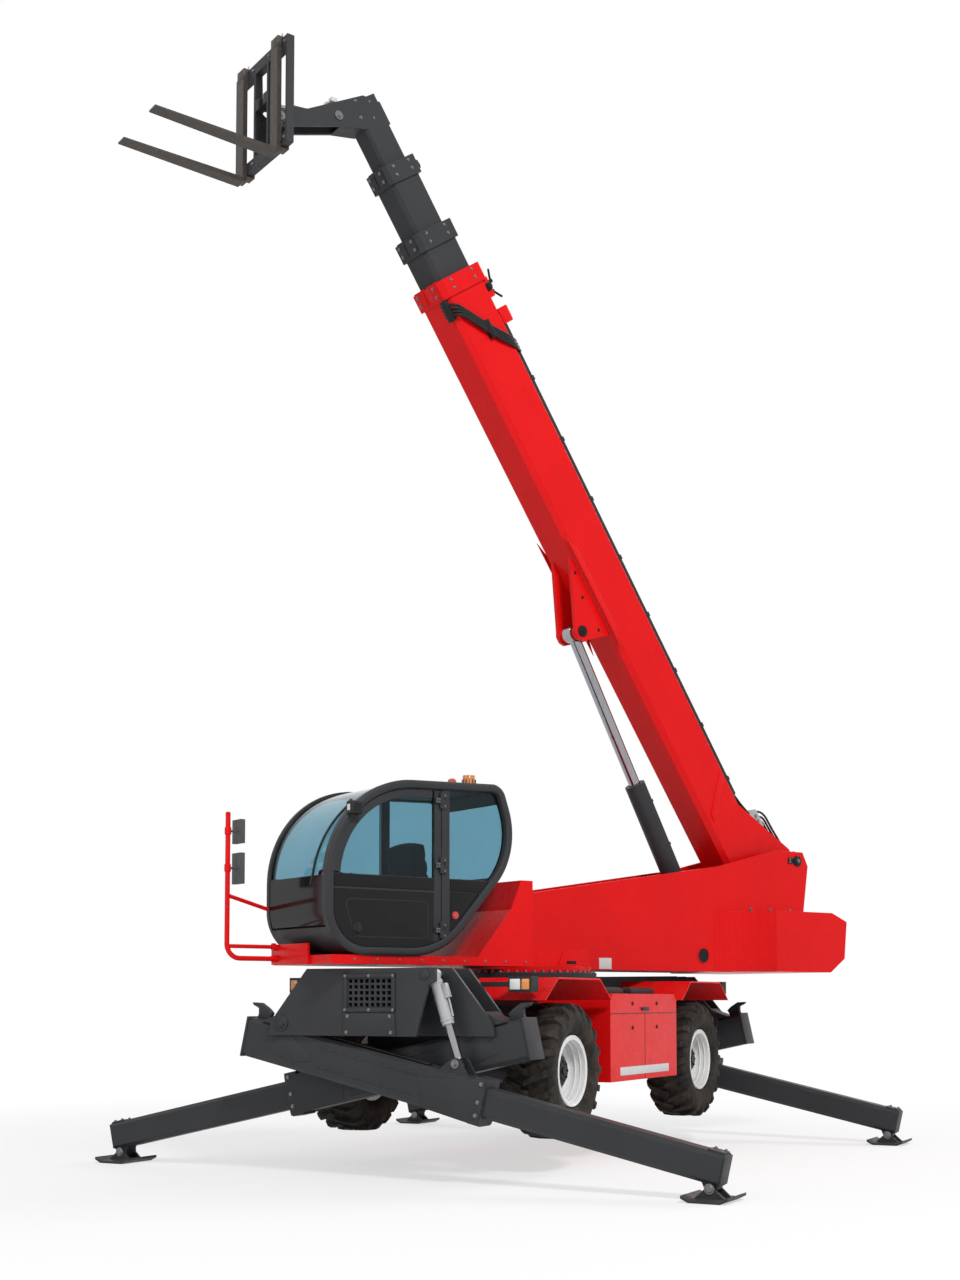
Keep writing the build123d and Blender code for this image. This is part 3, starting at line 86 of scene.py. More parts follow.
# Cab: corners of its outline as (x, z, radius), panes as depths behind a face
CAB_LEFT, CAB_RIGHT = 1.20, 0.22
CAB_CORNERS = ((1.88, 1.55, 0.70), (3.02, 1.55, 0.38), (3.02, 2.99, 0.86), (1.25, 3.05, 0.14),
               (1.05, 2.48, 0.65))
CAB_WALL, CAB_FRAME, DOOR_EDGE, DOOR_STILE = 0.05, 0.066, 0.072, 0.066
PILLAR_REAR, PILLAR_FRONT, BELT, LINTEL = 1.80, 1.88, 2.21, 2.90
SCREEN_REAR, SCREEN_SILL, REAR_PANE = 2.16, 1.78, 1.30
PANE_FRONT, PANE_BACK = 0.020, 0.028
HINGE_RADIUS, HINGE_HEIGHT = 0.014, 0.045
HINGE_LEVELS, HINGE_FACE = (1.70, 2.25, 2.80), 1.218
BEACON_X, RED_LIGHT_X, ROOF_LIGHT_Y = 1.48, 1.66, 1.04
CAB_FLOOR, SEAT_TOP = 1.605, 1.86

# Points on each rounded corner and straight run of the cab, cuts across a cushion and how round it is
CAB_STEPS, CAB_STRAIGHT = 36, 24
SEAT_CUTS, SEAT_FULLNESS = 15, 0.30

# Turret, with its pins as (x, z), the counterweight and the rail's post as (x, y)
BOOM_Y, TURRET_SIDE = -0.1, 0.29
BOOM_PIN, LIFT_PIN, PORT = (-3.47, 2.69), (-2.48, 1.62), (-2.05, 1.64)
WEIGHT_FRONT, WEIGHT_LEFT, WEIGHT_RIGHT, WEIGHT_LOW, WEIGHT_TOP = -2.70, 0.70, -0.90, 1.480, 2.106
SWEEP_LENGTH, SWEEP_STEPS = 0.54, 10
RAIL_POST = (3.44, 0.32)

# Chassis sizes
BODY_SIDE = 1.20
LAMP_Z = 1.31
SLEW_BOLTS = 48

# Studio: half the floor's side, and where its shade starts to fade and is gone
FLOOR_HALF = 160.0
SHADE_NEAR, SHADE_FAR = 4.0, 10.0

# How far the shading rounds edges
PAINT_ROUNDING, METAL_ROUNDING = 0.006, 0.003


# Frames of the bodies, from the joints

def frame_matrix(origin, x_axis, y_axis):
    x, y = Vector(x_axis).normalized(), Vector(y_axis).normalized()
    z = x.cross(y)
    return Matrix((
        (x.x, y.x, z.x, origin[0]),
        (x.y, y.y, z.y, origin[1]),
        (x.z, y.z, z.z, origin[2]),
        (0, 0, 0, 1)))


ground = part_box("tyre_fl")[0].z
across = -Vector(joints["boom_lift"]["axis"])
ahead = across.cross(Vector((0, 0, 1)))
CHASSIS = Matrix.Translation((0, 0, ground))
TURRET = frame_matrix((0, 0, ground), ahead, across)
BOOM = frame_matrix(joints["boom_lift"]["pos_m"], joints["telescope_1"]["axis"], across)
CARRIAGE = frame_matrix(joints["fork_tilt"]["pos_m"], ahead, across)
LIFT = frame_matrix(joints["lift_swing"]["pos_m"], joints["lift_stroke"]["axis"], across)
PLACES = {
    "chassis": CHASSIS, "turret": TURRET, "door": TURRET, "boom": BOOM, "stage_1": BOOM, "stage_2": BOOM,
    "stage_3": CARRIAGE, "carriage": CARRIAGE, "lift_barrel": LIFT}
for corner in CORNERS:
    swing = joints["outrigger_swing_" + corner]
    beam = frame_matrix(swing["pos_m"], joints["leg_slide_" + corner]["axis"], swing["axis"])
    PLACES["outrigger_" + corner] = PLACES["leg_" + corner] = beam
    PLACES["jack_barrel_" + corner] = frame_matrix(joints["jack_swing_" + corner]["pos_m"],
                                                   joints["jack_stroke_" + corner]["axis"], swing["axis"])
    turn = Matrix.Rotation(0 if corner in ("fl", "rl") else math.pi, 4, "Z")
    PLACES["wheel_" + corner] = Matrix.Translation(joints["wheel_spin_" + corner]["pos_m"]) @ turn


# Materials

def feed(tree, node, inputs):
    """Links each input that is given a socket, and sets the others."""
    for key, value in inputs.items():
        if isinstance(value, bpy.types.NodeSocket):
            tree.links.new(value, node.inputs[key])
        else:
            node.inputs[key].default_value = value


def add_node(tree, kind, inputs=None, **values):
    node = tree.nodes.new(kind)
    for key, value in values.items():
        setattr(node, key, value)
    feed(tree, node, inputs or {})
    return node


class Finish:
    """One procedural material: a base colour broken up by noise, with wear and a painted highlight on the edges,
    and dust on top.
    """

    def __init__(self, name, colour, roughness, metallic=0.0):
        self.material = bpy.data.materials.new(name)
        self.material.use_nodes = True
        self.tree = self.material.node_tree
        self.shader = self.tree.nodes["Principled BSDF"]
        self.roughness = roughness
        self.set({"Metallic": metallic, "Roughness": roughness})
        self.place = self.add("ShaderNodeTexCoord").outputs["Object"]
        self.colour = self.rgb(colour)

    def add(self, kind, inputs=None, **values):
        return add_node(self.tree, kind, inputs, **values)

    def set(self, inputs):
        feed(self.tree, self.shader, inputs)

    def rgb(self, colour):
        node = self.add("ShaderNodeRGB")
        node.outputs[0].default_value = (*colour, 1)
        return node.outputs[0]

    def noise(self, scale, detail=4.0, rough=0.55, stretch=None):
        place = self.place
        if stretch:
            place = self.add("ShaderNodeMapping", {"Vector": place, "Scale": stretch}).outputs["Vector"]
        inputs = {"Scale": scale, "Detail": detail, "Roughness": rough, "Vector": place}
        return self.add("ShaderNodeTexNoise", inputs).outputs["Fac"]

    def ramp(self, value, low, high, start=0.0, end=1.0):
        inputs = {"Value": value, "From Min": low, "From Max": high, "To Min": start, "To Max": end}
        return self.add("ShaderNodeMapRange", inputs, clamp=True).outputs["Result"]

    def times(self, first, second):
        return self.add("ShaderNodeMath", {0: first, 1: second}, operation="MULTIPLY").outputs[0]

    def mix(self, mask, colour):
        """Lays `colour` over what is there, where the mask is white."""
        inputs = {0: mask, 6: self.colour, 7: self.rgb(colour)}
        self.colour = self.add("ShaderNodeMix", inputs, data_type="RGBA").outputs[2]

    def rounded_normal(self, radius):
        return self.add("ShaderNodeBevel", {"Radius": radius}, samples=4).outputs["Normal"]

    def normal(self):
        return self.add("ShaderNodeNewGeometry").outputs["Normal"]

    def edges(self, width):
        """White along the solid's edges, about `width` across: the mask of the painted edge highlights and of the
        rubbed wear.
        """
        inputs = {0: self.rounded_normal(width), 1: self.normal()}
        dot = self.add("ShaderNodeVectorMath", inputs, operation="DOT_PRODUCT")
        return self.ramp(dot.outputs["Value"], 0.99, 0.80)

    def facing_up(self):
        return self.ramp(self.add("ShaderNodeSeparateXYZ", {0: self.normal()}).outputs["Z"], 0.35, 0.95)

    def bump(self, height, strength, distance, rounding=0.0):
        inputs = {"Strength": strength, "Distance": distance, "Height": height}
        if rounding:
            inputs["Normal"] = self.rounded_normal(rounding)
        self.set({"Normal": self.add("ShaderNodeBump", inputs).outputs["Normal"]})

    def vary_roughness(self, value, spread):
        low, high = max(0.03, self.roughness - spread), min(1.0, self.roughness + spread)
        self.set({"Roughness": self.ramp(value, 0.3, 0.7, low, high)})

    def done(self):
        self.set({"Base Color": self.colour})
        return self.material


def paint(name, colour, roughness, dark, dust, coat=0.0, gloss=0.4, edge_wear_and_highlight=None):
    """Sprayed paint: soft mottling, orange peel, dust that settles on top, rounded edges, and lighter patches on
    the edges if asked, which are part rubbed wear and part painted edge highlight.
    """
    finish = Finish(name, colour, roughness)
    finish.mix(finish.ramp(finish.noise(1.7), 0.42, 0.75, 0.0, 0.55), dark)
    grime = finish.times(finish.facing_up(), finish.ramp(finish.noise(6.0, 6.0), 0.4, 0.8))
    finish.mix(finish.times(grime, 0.30), dust)
    if edge_wear_and_highlight:
        # Lighter patches along the edges: part rubbed wear, part painted highlight where the edges would catch the
        # light.
        rub_and_highlight = finish.times(finish.edges(0.010), finish.ramp(finish.noise(14.0, 5.0), 0.45, 0.62))
        finish.mix(finish.times(rub_and_highlight, 0.75), edge_wear_and_highlight)
    finish.vary_roughness(finish.noise(9.0, 5.0), 0.07)
    finish.set({"Specular IOR Level": gloss, "Coat Weight": coat, "Coat Roughness": 0.06})
    finish.bump(finish.noise(260.0, 2.0), 0.06, 0.002, PAINT_ROUNDING)
    return finish.done()


def metal(name, colour, roughness, metallic, scratch):
    """Bare or plated metal with fine scratches drawn out along one way."""
    finish = Finish(name, colour, roughness, metallic)
    lines = finish.noise(40.0, 6.0, 0.7, stretch=(1.0, 1.0, 0.06))
    finish.mix(finish.ramp(lines, 0.5, 0.75, 0.0, 0.7), scratch)
    finish.vary_roughness(finish.noise(25.0, 5.0), 0.06)
    finish.bump(lines, 0.05, 0.001, METAL_ROUNDING)
    return finish.done()


def plastic(name, colour, roughness, grain, dust):
    """Moulded plastic with a fine grain and a film of dust."""
    finish = Finish(name, colour, roughness)
    finish.mix(finish.ramp(finish.noise(5.0), 0.5, 0.8, 0.0, 0.5), dust)
    finish.vary_roughness(finish.noise(18.0), 0.06)
    finish.set({"Specular IOR Level": 0.25})
    finish.bump(finish.noise(grain, 2.0), 0.15, 0.001, 0.004)
    return finish.done()


def rubber(name):
    """Tyre rubber with patches of earth and grey scuffs, and a painted highlight that makes every edge of the lugs
    paler.
    """
    finish = Finish(name, (0.014, 0.013, 0.012), 0.78)
    finish.set({"Specular IOR Level": 0.18})
    finish.mix(finish.ramp(finish.noise(7.0, 8.0, 0.7), 0.42, 0.66, 0.0, 0.75), (0.066, 0.051, 0.038))
    finish.mix(finish.ramp(finish.noise(38.0, 6.0), 0.52, 0.72, 0.0, 0.6), (0.042, 0.037, 0.032))
    # Painted highlight: an even, paler band along every edge.
    finish.mix(finish.times(finish.edges(0.012), 0.30), (0.060, 0.055, 0.050))
    finish.vary_roughness(finish.noise(20.0), 0.10)
    finish.bump(finish.noise(90.0, 5.0), 0.35, 0.003, 0.004)
    return finish.done()


def tinted_glass(name, colour, rough):
    finish = Finish(name, colour, rough)
    finish.set({"Transmission Weight": 1.0, "IOR": 1.25})
    finish.mix(finish.ramp(finish.noise(2.5), 0.4, 0.8, 0.0, 0.4), tuple(0.86 * c for c in colour))
    return finish.done()


def lens(name, colour, ribs):
    """A lamp's ribbed lens under a clear coat."""
    finish = Finish(name, colour, 0.12)
    inputs = {"Scale": ribs, "Vector": finish.place}
    wave = finish.add("ShaderNodeTexWave", inputs, bands_direction="Z").outputs["Fac"]
    finish.mix(finish.ramp(wave, 0.3, 0.9, 0.0, 0.4), tuple(0.6 * c for c in colour))
    finish.set({"Coat Weight": 0.8})
    finish.bump(wave, 0.3, 0.002)
    return finish.done()


RED = paint("red_paint", (0.72, 0.006, 0.007), 0.30, (0.62, 0.004, 0.005), (0.50, 0.08, 0.06),
            coat=0.03, gloss=0.12)
# The lighter grey on its edges is part wear, part painted highlight.
GREY = paint("dark_paint", (0.038, 0.039, 0.042), 0.46, (0.028, 0.029, 0.031), (0.085, 0.082, 0.078),
             gloss=0.14, edge_wear_and_highlight=(0.10, 0.10, 0.10))
BLACK_PAINT = paint("black_paint", (0.012, 0.012, 0.013), 0.34, (0.008, 0.008, 0.009), (0.05, 0.05, 0.05),
                    gloss=0.15)
GLOSS_BLACK = paint("gloss_black", (0.008, 0.008, 0.009), 0.10, (0.012, 0.012, 0.013), (0.04, 0.04, 0.04),
                    coat=0.12, gloss=0.12)
WHITE_PAINT = paint("pale_paint", (0.62, 0.62, 0.61), 0.40, (0.54, 0.54, 0.53), (0.50, 0.47, 0.42))
SILVER = paint("silver_paint", (0.80, 0.80, 0.79), 0.36, (0.70, 0.70, 0.69), (0.42, 0.38, 0.33))
JACK_GREY = paint("jack_paint", (0.42, 0.42, 0.43), 0.34, (0.34, 0.34, 0.35), (0.30, 0.29, 0.27))
CHROME = metal("chrome", (0.34, 0.34, 0.36), 0.16, 1.0, (0.24, 0.24, 0.25))
STEEL = metal("bolt_steel", (0.17, 0.17, 0.17), 0.42, 0.9, (0.10, 0.095, 0.09))
FORK = metal("fork_steel", (0.030, 0.022, 0.017), 0.42, 0.3, (0.075, 0.055, 0.040))
IRON = metal("cast_iron", (0.12, 0.12, 0.12), 0.6, 0.5, (0.07, 0.065, 0.06))
PLASTIC = plastic("black_plastic", (0.016, 0.016, 0.018), 0.55, 420.0, (0.030, 0.029, 0.028))
MIRROR_GREY = plastic("mirror_shell", (0.07, 0.075, 0.08), 0.5, 420.0, (0.12, 0.12, 0.115))
HOSE = plastic("hose_rubber", (0.012, 0.012, 0.012), 0.5, 700.0, (0.026, 0.025, 0.024))
CLOTH = plastic("seat_cloth", (0.022, 0.023, 0.026), 0.85, 900.0, (0.034, 0.034, 0.036))
TYRE = rubber("tyre_rubber")
GLASS = tinted_glass("tinted_glass", (0.34, 0.54, 0.62), 0.0)
CLEAR = lens("clear_lens", (0.72, 0.72, 0.68), 60.0)
AMBER = lens("amber_lens", (0.80, 0.24, 0.015), 80.0)
RED_LENS = lens("red_lens", (0.62, 0.02, 0.012), 80.0)

# The material of each slot on the solids
SLOT_MATERIALS = {
    "red_paint": RED, "dark_paint": GREY, "cast_engine": IRON, "lamp": PLASTIC, "tyre": TYRE, "rim": SILVER,
    "glass": GLASS, "interior": PLASTIC, "black_panel": GLOSS_BLACK, "mirror": MIRROR_GREY, "beacon": AMBER,
    "chrome": CHROME, "jack_grey": JACK_GREY, "fork_steel": FORK}
slot_of = {part["node"]: part["material_slot"] for part in frame["record"]["subparts"]}
for name, obj in frame["nodes"].items():
    obj.data.materials.clear()
    obj.data.materials.append(SLOT_MATERIALS[slot_of[name]])


# Shapes

class Shape:
    """Collects boxes, bars, plates and tubes, given in one body's frame, into one mesh."""

    def __init__(self):
        self.mesh = bmesh.new()

    def box(self, start, end, bevel=0.0):
        """A box between two opposite corners, in any order."""
        low, high = (Vector(corner) for corner in zip(*map(sorted, zip(start, end))))
        place = Matrix.Translation((low + high) / 2) @ Matrix.Diagonal((*(high - low), 1))
        made = bmesh.ops.create_cube(self.mesh, size=1.0, matrix=place)["verts"]
        if bevel:
            self.soften(made, bevel)
        return self

    def soften(self, verts, bevel):
        edges = list({edge for vert in verts for edge in vert.link_edges})
        bmesh.ops.bevel(self.mesh, geom=edges, offset=bevel, segments=2, profile=0.6, affect="EDGES")

    def bar(self, start, end, radius, sides=24, end_radius=None):
        start, end = Vector(start), Vector(end)
        axis = end - start
        place = Matrix.Translation((start + end) / 2) @ axis.to_track_quat("Z", "Y").to_matrix().to_4x4()
        end_radius = radius if end_radius is None else end_radius
        bmesh.ops.create_cone(self.mesh, cap_ends=True, segments=sides, radius1=radius, radius2=end_radius,
                              depth=axis.length, matrix=place)
        return self

    def bolt(self, place, axis, radius, height=0.012):
        """A washer with a hexagon head on it."""
        place, axis = Vector(place), Vector(axis).normalized()
        self.bar(place, place + axis * height * 0.3, radius * 1.35, 16)
        self.bar(place, place + axis * height, radius, 6)
        return self

    def hull(self, points):
        """The smallest convex solid round the points."""
        made = [self.mesh.verts.new(point) for point in points]
        bmesh.ops.convex_hull(self.mesh, input=made)
        return self

    def boss(self, place, axis, radius, height, bolts=0):
        """A stepped round cap, with a ring of bolts if wanted."""
        place, axis = Vector(place), Vector(axis).normalized()
        step = place + axis * height * 0.6
        self.bar(place, step, radius, 32)
        self.bar(step, place + axis * height, radius * 0.72, 32, radius * 0.62)
        side = axis.orthogonal().normalized()
        for index in range(bolts):
            turn = Matrix.Rotation(2 * math.pi * index / bolts, 3, axis)
            self.bolt(step + turn @ side * radius * 0.86, axis, radius * 0.08, height * 0.3)
        return self

    def plate(self, outline, start, end, flat="xz", bevel=0.0):
        """A flat outline in the XZ or YZ plane, drawn out along the third axis from `start` to `end`."""
        def at(a, b, depth):
            return (a, depth, b) if flat == "xz" else (depth, a, b)
        rings = [[self.mesh.verts.new(at(a, b, depth)) for a, b in outline] for depth in (start, end)]
        self.mesh.faces.new(rings[0])
        self.mesh.faces.new(list(reversed(rings[1])))
        count = len(outline)
        for index in range(count):
            after = (index + 1) % count
            self.mesh.faces.new((rings[0][after], rings[0][index], rings[1][index], rings[1][after]))
        if bevel:
            self.soften(rings[0] + rings[1], bevel)
        return self

    def tube(self, points, radius):
        """A round tube on a smooth line from the first point to the last, drawn towards those between."""
        curve = bpy.data.curves.new("route", "CURVE")
        curve.dimensions = "3D"
        spline = curve.splines.new("NURBS")
        spline.points.add(len(points) - 1)
        for point, place in zip(spline.points, points):
            point.co = (*place, 1)
        spline.order_u = min(3, len(points))
        spline.use_endpoint_u = True
        spline.resolution_u = 8
        curve.bevel_depth = radius
        curve.bevel_resolution = 3
        curve.use_fill_caps = True
        carrier = bpy.data.objects.new("route", curve)
        mesh = bpy.data.meshes.new_from_object(carrier)
        self.mesh.from_mesh(mesh)
        bpy.data.objects.remove(carrier)
        bpy.data.curves.remove(curve)
        bpy.data.meshes.remove(mesh)
        return self

    def join(self, loops, closed=True):
        """Faces between each loop of points and the next, and from the last to the first if closed."""
        count = len(loops[0])
        for here, there in zip(loops, loops[1:] + (loops[:1] if closed else [])):
            for index in range(count):
                after = (index + 1) % count
                self.mesh.faces.new((here[index], here[after], there[after], there[index]))
        return self

    def ring_at(self, place, axis, profile, steps):
        """A closed ring about `axis` from (distance along it, radius) points."""
        place, turn = Vector(place), Vector(axis).to_track_quat("Z", "Y").to_matrix()
        return self.join([[self.mesh.verts.new(place + turn @ Vector((radius * cos, radius * sin, along)))
                           for along, radius in profile] for cos, sin in around(steps, 1.0)])

    def ring(self, profile, steps):
        """A closed ring about Y from (y, radius) points."""
        return self.ring_at((0, 0, 0), (0, 1, 0), profile, steps)

    def moulding(self, corners, profile, steps):
        """A band that follows a rounded outline in XZ: the profile's points are (inset, y)."""
        return self.join([[self.mesh.verts.new((x, y, z)) for x, z in rounded(corners, inset, steps)]
                          for inset, y in profile])

    def done(self, name, body, material, angle=40.0, slot=None, place=None):
        """Puts the piece on its body, with edges sharper than `angle` left sharp."""
        bmesh.ops.remove_doubles(self.mesh, verts=self.mesh.verts, dist=1e-6)
        bmesh.ops.transform(self.mesh, matrix=place or PLACES[body], verts=self.mesh.verts)
        bmesh.ops.recalc_face_normals(self.mesh, faces=self.mesh.faces)
        data = bpy.data.meshes.new(name)
        self.mesh.to_mesh(data)
        self.mesh.free()
        data.polygons.foreach_set("use_smooth", [True] * len(data.polygons))
        data.set_sharp_from_angle(angle=math.radians(angle))
        data.materials.append(material)
        obj = add_object(name, data)
        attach(obj, body)
        return obj


def around(count, radius, start=0.0):
    """Points spaced evenly on a circle, the first one `start` of a step along."""
    angles = [2 * math.pi * (index + start) / count for index in range(count)]
    return [(radius * math.cos(angle), radius * math.sin(angle)) for angle in angles]


def rounded(corners, inset, steps):
    """The points of a closed outline whose corners (x, z, radius) are rounded, moved in by `inset`."""
    points = []
    count = len(corners)
    for index, (x, z, radius) in enumerate(corners):
        here = Vector((x, z))
        before = Vector(corners[index - 1][:2]) - here
        after = Vector(corners[(index + 1) % count][:2]) - here
        before.normalize()
        after.normalize()
        half = before.angle(after) / 2
        middle = (before + after).normalized()
        centre = here + middle * (radius / math.sin(half))
        start = (here + before * (radius / math.tan(half))) - centre
        turn = math.pi - 2 * half
        sign = 1 if before.y * after.x - before.x * after.y > 0 else -1
        for step in range(steps + 1):
            angle = sign * turn * step / steps
            cos, sin = math.cos(angle), math.sin(angle)
            arm = Vector((start.x * cos - start.y * sin, start.x * sin + start.y * cos))
            points.append(centre + arm * (1 - inset / radius))
    return [(point.x, point.y) for point in points]


def clip(points, axis, limit, sign):
    """The part of an outline where the coordinate is below the limit, or above it if the sign is -1."""
    kept = []
    for here, there in zip(points, points[1:] + points[:1]):
        a, b = sign * (here[axis] - limit), sign * (there[axis] - limit)
        if a <= 0:
            kept.append(here)
        if a * b < 0:
            share = a / (a - b)
            kept.append(tuple(p + (q - p) * share for p, q in zip(here, there)))
    return kept


def within(points, x_low=None, x_high=None, z_low=None, z_high=None):
    """The part of an outline inside the limits that are given."""
    for axis, limit, sign in ((0, x_high, 1), (0, x_low, -1), (1, z_high, 1), (1, z_low, -1)):
        if limit is not None:
            points = clip(points, axis, limit, sign)
    return points


# Wheels

def tyre():
    """Carcass with a rounded shoulder, and two rows of slanted lugs that meet in a chevron."""
    shape = Shape()
    crown, bead = WHEEL_RADIUS - LUG_HEIGHT, RIM_RADIUS + 0.001
    side = [(0.155, bead), (0.160, bead + 0.030), (0.198, bead + 0.060), (0.214, bead + 0.110),
            (0.216, bead + 0.160), (0.206, crown - 0.045), (0.190, crown - 0.018), (0.150, crown - 0.004)]
    shape.ring(side + [(0.0, crown)] + [(-y, radius) for y, radius in reversed(side)], 96)
    pitch = 2 * math.pi / LUG_COUNT
    for index in range(2 * LUG_COUNT):
        lug(shape, pitch * index / 2, 1 if index % 2 else -1, pitch)
    return shape


def lug(shape, start, hand, pitch):
    """One lug, from the middle of the tread to the shoulder, where it turns down the side."""
    crown, top = WHEEL_RADIUS - LUG_HEIGHT - 0.006, WHEEL_RADIUS - 0.001
    rows = ((-0.012, 0.00, top, 0.20), (0.10, 0.30, top, 0.24), (0.172, 0.46, top - 0.006, 0.30),
            (0.212, 0.54, top - 0.050, 0.34), (0.219, 0.58, top - 0.120, 0.30))
    rings = []
    for y, lead, height, width in rows:
        on_tread = y < 0.2
        foot_y, foot = (y, min(crown, height - 0.02)) if on_tread else (y - 0.02, height - 0.03)
        ring = []
        for share, depth, radius in ((-0.5, foot_y, foot), (-0.40, y, height), (0.40, y, height),
                                     (0.5, foot_y, foot)):
            angle = start + pitch * (lead + share * width * 1.25)
            x, z = radius * math.cos(angle), radius * math.sin(angle)
            ring.append(shape.mesh.verts.new((x, hand * depth, z)))
        rings.append(ring)
    shape.join(rings, closed=False)
    shape.mesh.faces.new(rings[0])
    shape.mesh.faces.new(list(reversed(rings[-1])))


def wheels():
    face = RIM_HALF_WIDTH - DISC_INSET
    end = face + HUB_LENGTH
    for corner in CORNERS:
        body = "wheel_" + corner
        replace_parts(tyre().done("lugged_tyre_" + corner, body, TYRE, 35.0), "tyre_" + corner)
        hub = Shape()
        hub.ring([(face, 0.02), (face + 0.004, HUB_RADIUS + 0.004),
                  (face + HUB_LENGTH * 0.68, HUB_RADIUS + 0.004),
                  (face + HUB_LENGTH * 0.78, HUB_RADIUS * 0.92), (end + 0.006, HUB_RADIUS * 0.66),
                  (end + 0.010, 0.02)], 48)
        hub.bar((0, end, 0), (0, end + 0.022, 0), 0.035, 6)
        for x, z in around(8, 0.078):
            hub.bolt((x, end + 0.006, z), (0, 1, 0), 0.009)
        hub.done("planet_hub_" + corner, body, BLACK_PAINT)
        nuts = Shape()
        for x, z in around(10, 0.178, 0.5):
            nuts.bolt((x, face, z), (0, 1, 0), 0.013, 0.020)
        nuts.done("wheel_nuts_" + corner, body, STEEL)
        dish = Shape()
        for inset, radius, thick in ((0.045, RIM_RADIUS - 0.016, 0.006), (0.095, RIM_RADIUS - 0.018, 0.008),
                                     (0.002, RIM_RADIUS + 0.014, 0.008)):
            dish.ring([(RIM_HALF_WIDTH - inset + y, radius + out) for y, out in around(8, thick)], 72)
        dish.done("rim_steps_" + corner, body, SILVER)


# Outriggers

def outriggers():
    top, low, half = BEAM_TOP, BEAM_LOW, BEAM_HALF
    face = half + BEAM_SKIN
    doubler = [(1.42, low + 0.004), (1.955, low - 0.016), (1.955, top + 0.020), (1.36, top - 0.10)]
    emboss = [(-0.10, low + 0.10), (0.16, low + 0.06), (0.34, low + 0.12), (0.12, top - 0.05),
              (0.0, top - 0.05)]
    hook = [(-0.34, top - 0.02), (-0.22, top), (-0.20, top + 0.07), (-0.25, top + 0.10), (-0.33, top + 0.13),
            (-0.42, top + 0.115), (-0.40, top + 0.095), (-0.34, top + 0.085), (-0.33, top + 0.04)]
    gland = [(-0.012, 0.0492), (-0.012, 0.0545), (0.012, 0.0545), (0.012, 0.0492)]
    for corner in CORNERS:
        beam, leg = "outrigger_" + corner, "leg_" + corner
        plates, fixings, pipes = Shape(), Shape(), Shape()
        for side in SIDES:
            for outline in (doubler, emboss):
                plates.plate(outline, side * half, side * face, bevel=0.002)
            for z in (low + 0.085, top - 0.085):
                plates.box((0.40, side * half, z - 0.005), (1.38, side * face, z + 0.005), 0.0015)
            for z in (top - 0.02, low + 0.06, (top + low) / 2):
                fixings.bolt((1.92, side * face, z), (0, side, 0), 0.013)
            fixings.boss((1.64, side * 0.083, 0.044), (0, side, 0), 0.036, 0.016)
            fixings.bolt((1.64, side * 0.099, 0.044), (0, side, 0), 0.014)
        plates.box((-0.372, -half - 0.008, low - 0.006), (-0.352, half + 0.008, top + 0.006), 0.004)
        plates.plate(hook, -0.022, 0.022, bevel=0.003)
        plates.done("beam_plates_" + corner, beam, GREY)
        fixings.done("beam_fixings_" + corner, beam, STEEL)
        for y in (-0.05, -0.02):
            pipes.tube([(0.10, y, top + 0.012), (0.5, y, top + 0.016), (1.0, y + 0.01, top + 0.012),
                        (1.40, y, top + 0.014)], 0.010)
        pipes.done("beam_pipes_" + corner, beam, HOSE)
        end = Shape().box((3.936, -0.088, -0.306), (3.950, 0.088, -0.086), 0.004)
        end.box((3.80, -0.070, -0.078), (3.93, 0.070, -0.066), 0.003)
        end.done("leg_end_" + corner, leg, GREY)
        studs = Shape()
        for side in SIDES:
            for x in (3.825, 3.905):
                studs.bolt((x, side * 0.05, -0.066), (0, 0, 1), 0.011)
            studs.boss((3.88, side * 0.0858, -0.346), (0, side, 0), 0.040, 0.012)
        studs.done("leg_bolts_" + corner, leg, STEEL)
        jack = Shape()
        for x in (0.384, 0.0725):
            jack.ring_at((x, 0, 0), (1, 0, 0), gland, 40)
        jack.box((0.10, -0.026, 0.046), (0.22, 0.026, 0.088), 0.004)
        jack.tube([(0.215, 0.0, 0.066), (0.26, 0.0, 0.068), (0.33, 0.0, 0.062), (0.374, 0.0, 0.060)], 0.008)
        jack.done("jack_fittings_" + corner, "jack_barrel_" + corner, JACK_GREY)


# Cab

def roof_at(x):
    """Height of the roof at x, on the straight run between its two upper corners."""
    (x1, z1, _), (x0, z0, _) = CAB_CORNERS[2:4]
    return z0 + (x - x0) * (z1 - z0) / (x1 - x0)


def on_roof(x0, x1, low, high):
    """An outline along the roof's slope, between two heights over it."""
    return [(x, roof_at(x) + height) for x, height in ((x0, low), (x1, low), (x1, high), (x0, high))]


def cab_line(inset):
    """The cab's outline moved in by `inset`, with points along its straight runs too."""
    steps, straight = CAB_STEPS, CAB_STRAIGHT
    arcs = rounded(CAB_CORNERS, inset, steps)
    points = []
    for start in range(0, len(arcs), steps + 1):
        arc = arcs[start:start + steps + 1]
        (x0, z0), (x1, z1) = arc[-1], arcs[(start + steps + 1) % len(arcs)]
        points += arc
        points += [(x0 + (x1 - x0) * k / straight, z0 + (z1 - z0) * k / straight) for k in range(1, straight)]
    return points


def in_screen(x, z):
    return x > SCREEN_REAR and z > SCREEN_SILL


def in_rear_pane(x, z):
    return x < REAR_PANE and BELT < z < LINTEL


def follow(shape, keep, outer, inner, y0, y1):
    """Strips between two insets of the cab's outline, wherever `keep` holds on the outline."""
    far, near = cab_line(outer), cab_line(inner)
    kept = [keep(x, z) for x, z in cab_line(0.0)]
    count = len(kept)
    for start in range(count):
        if kept[start] and not kept[start - 1]:
            run = [start]
            while kept[(run[-1] + 1) % count]:
                run.append((run[-1] + 1) % count)
            shape.plate([far[k] for k in run] + [near[k] for k in reversed(run)], y0, y1)
    return shape


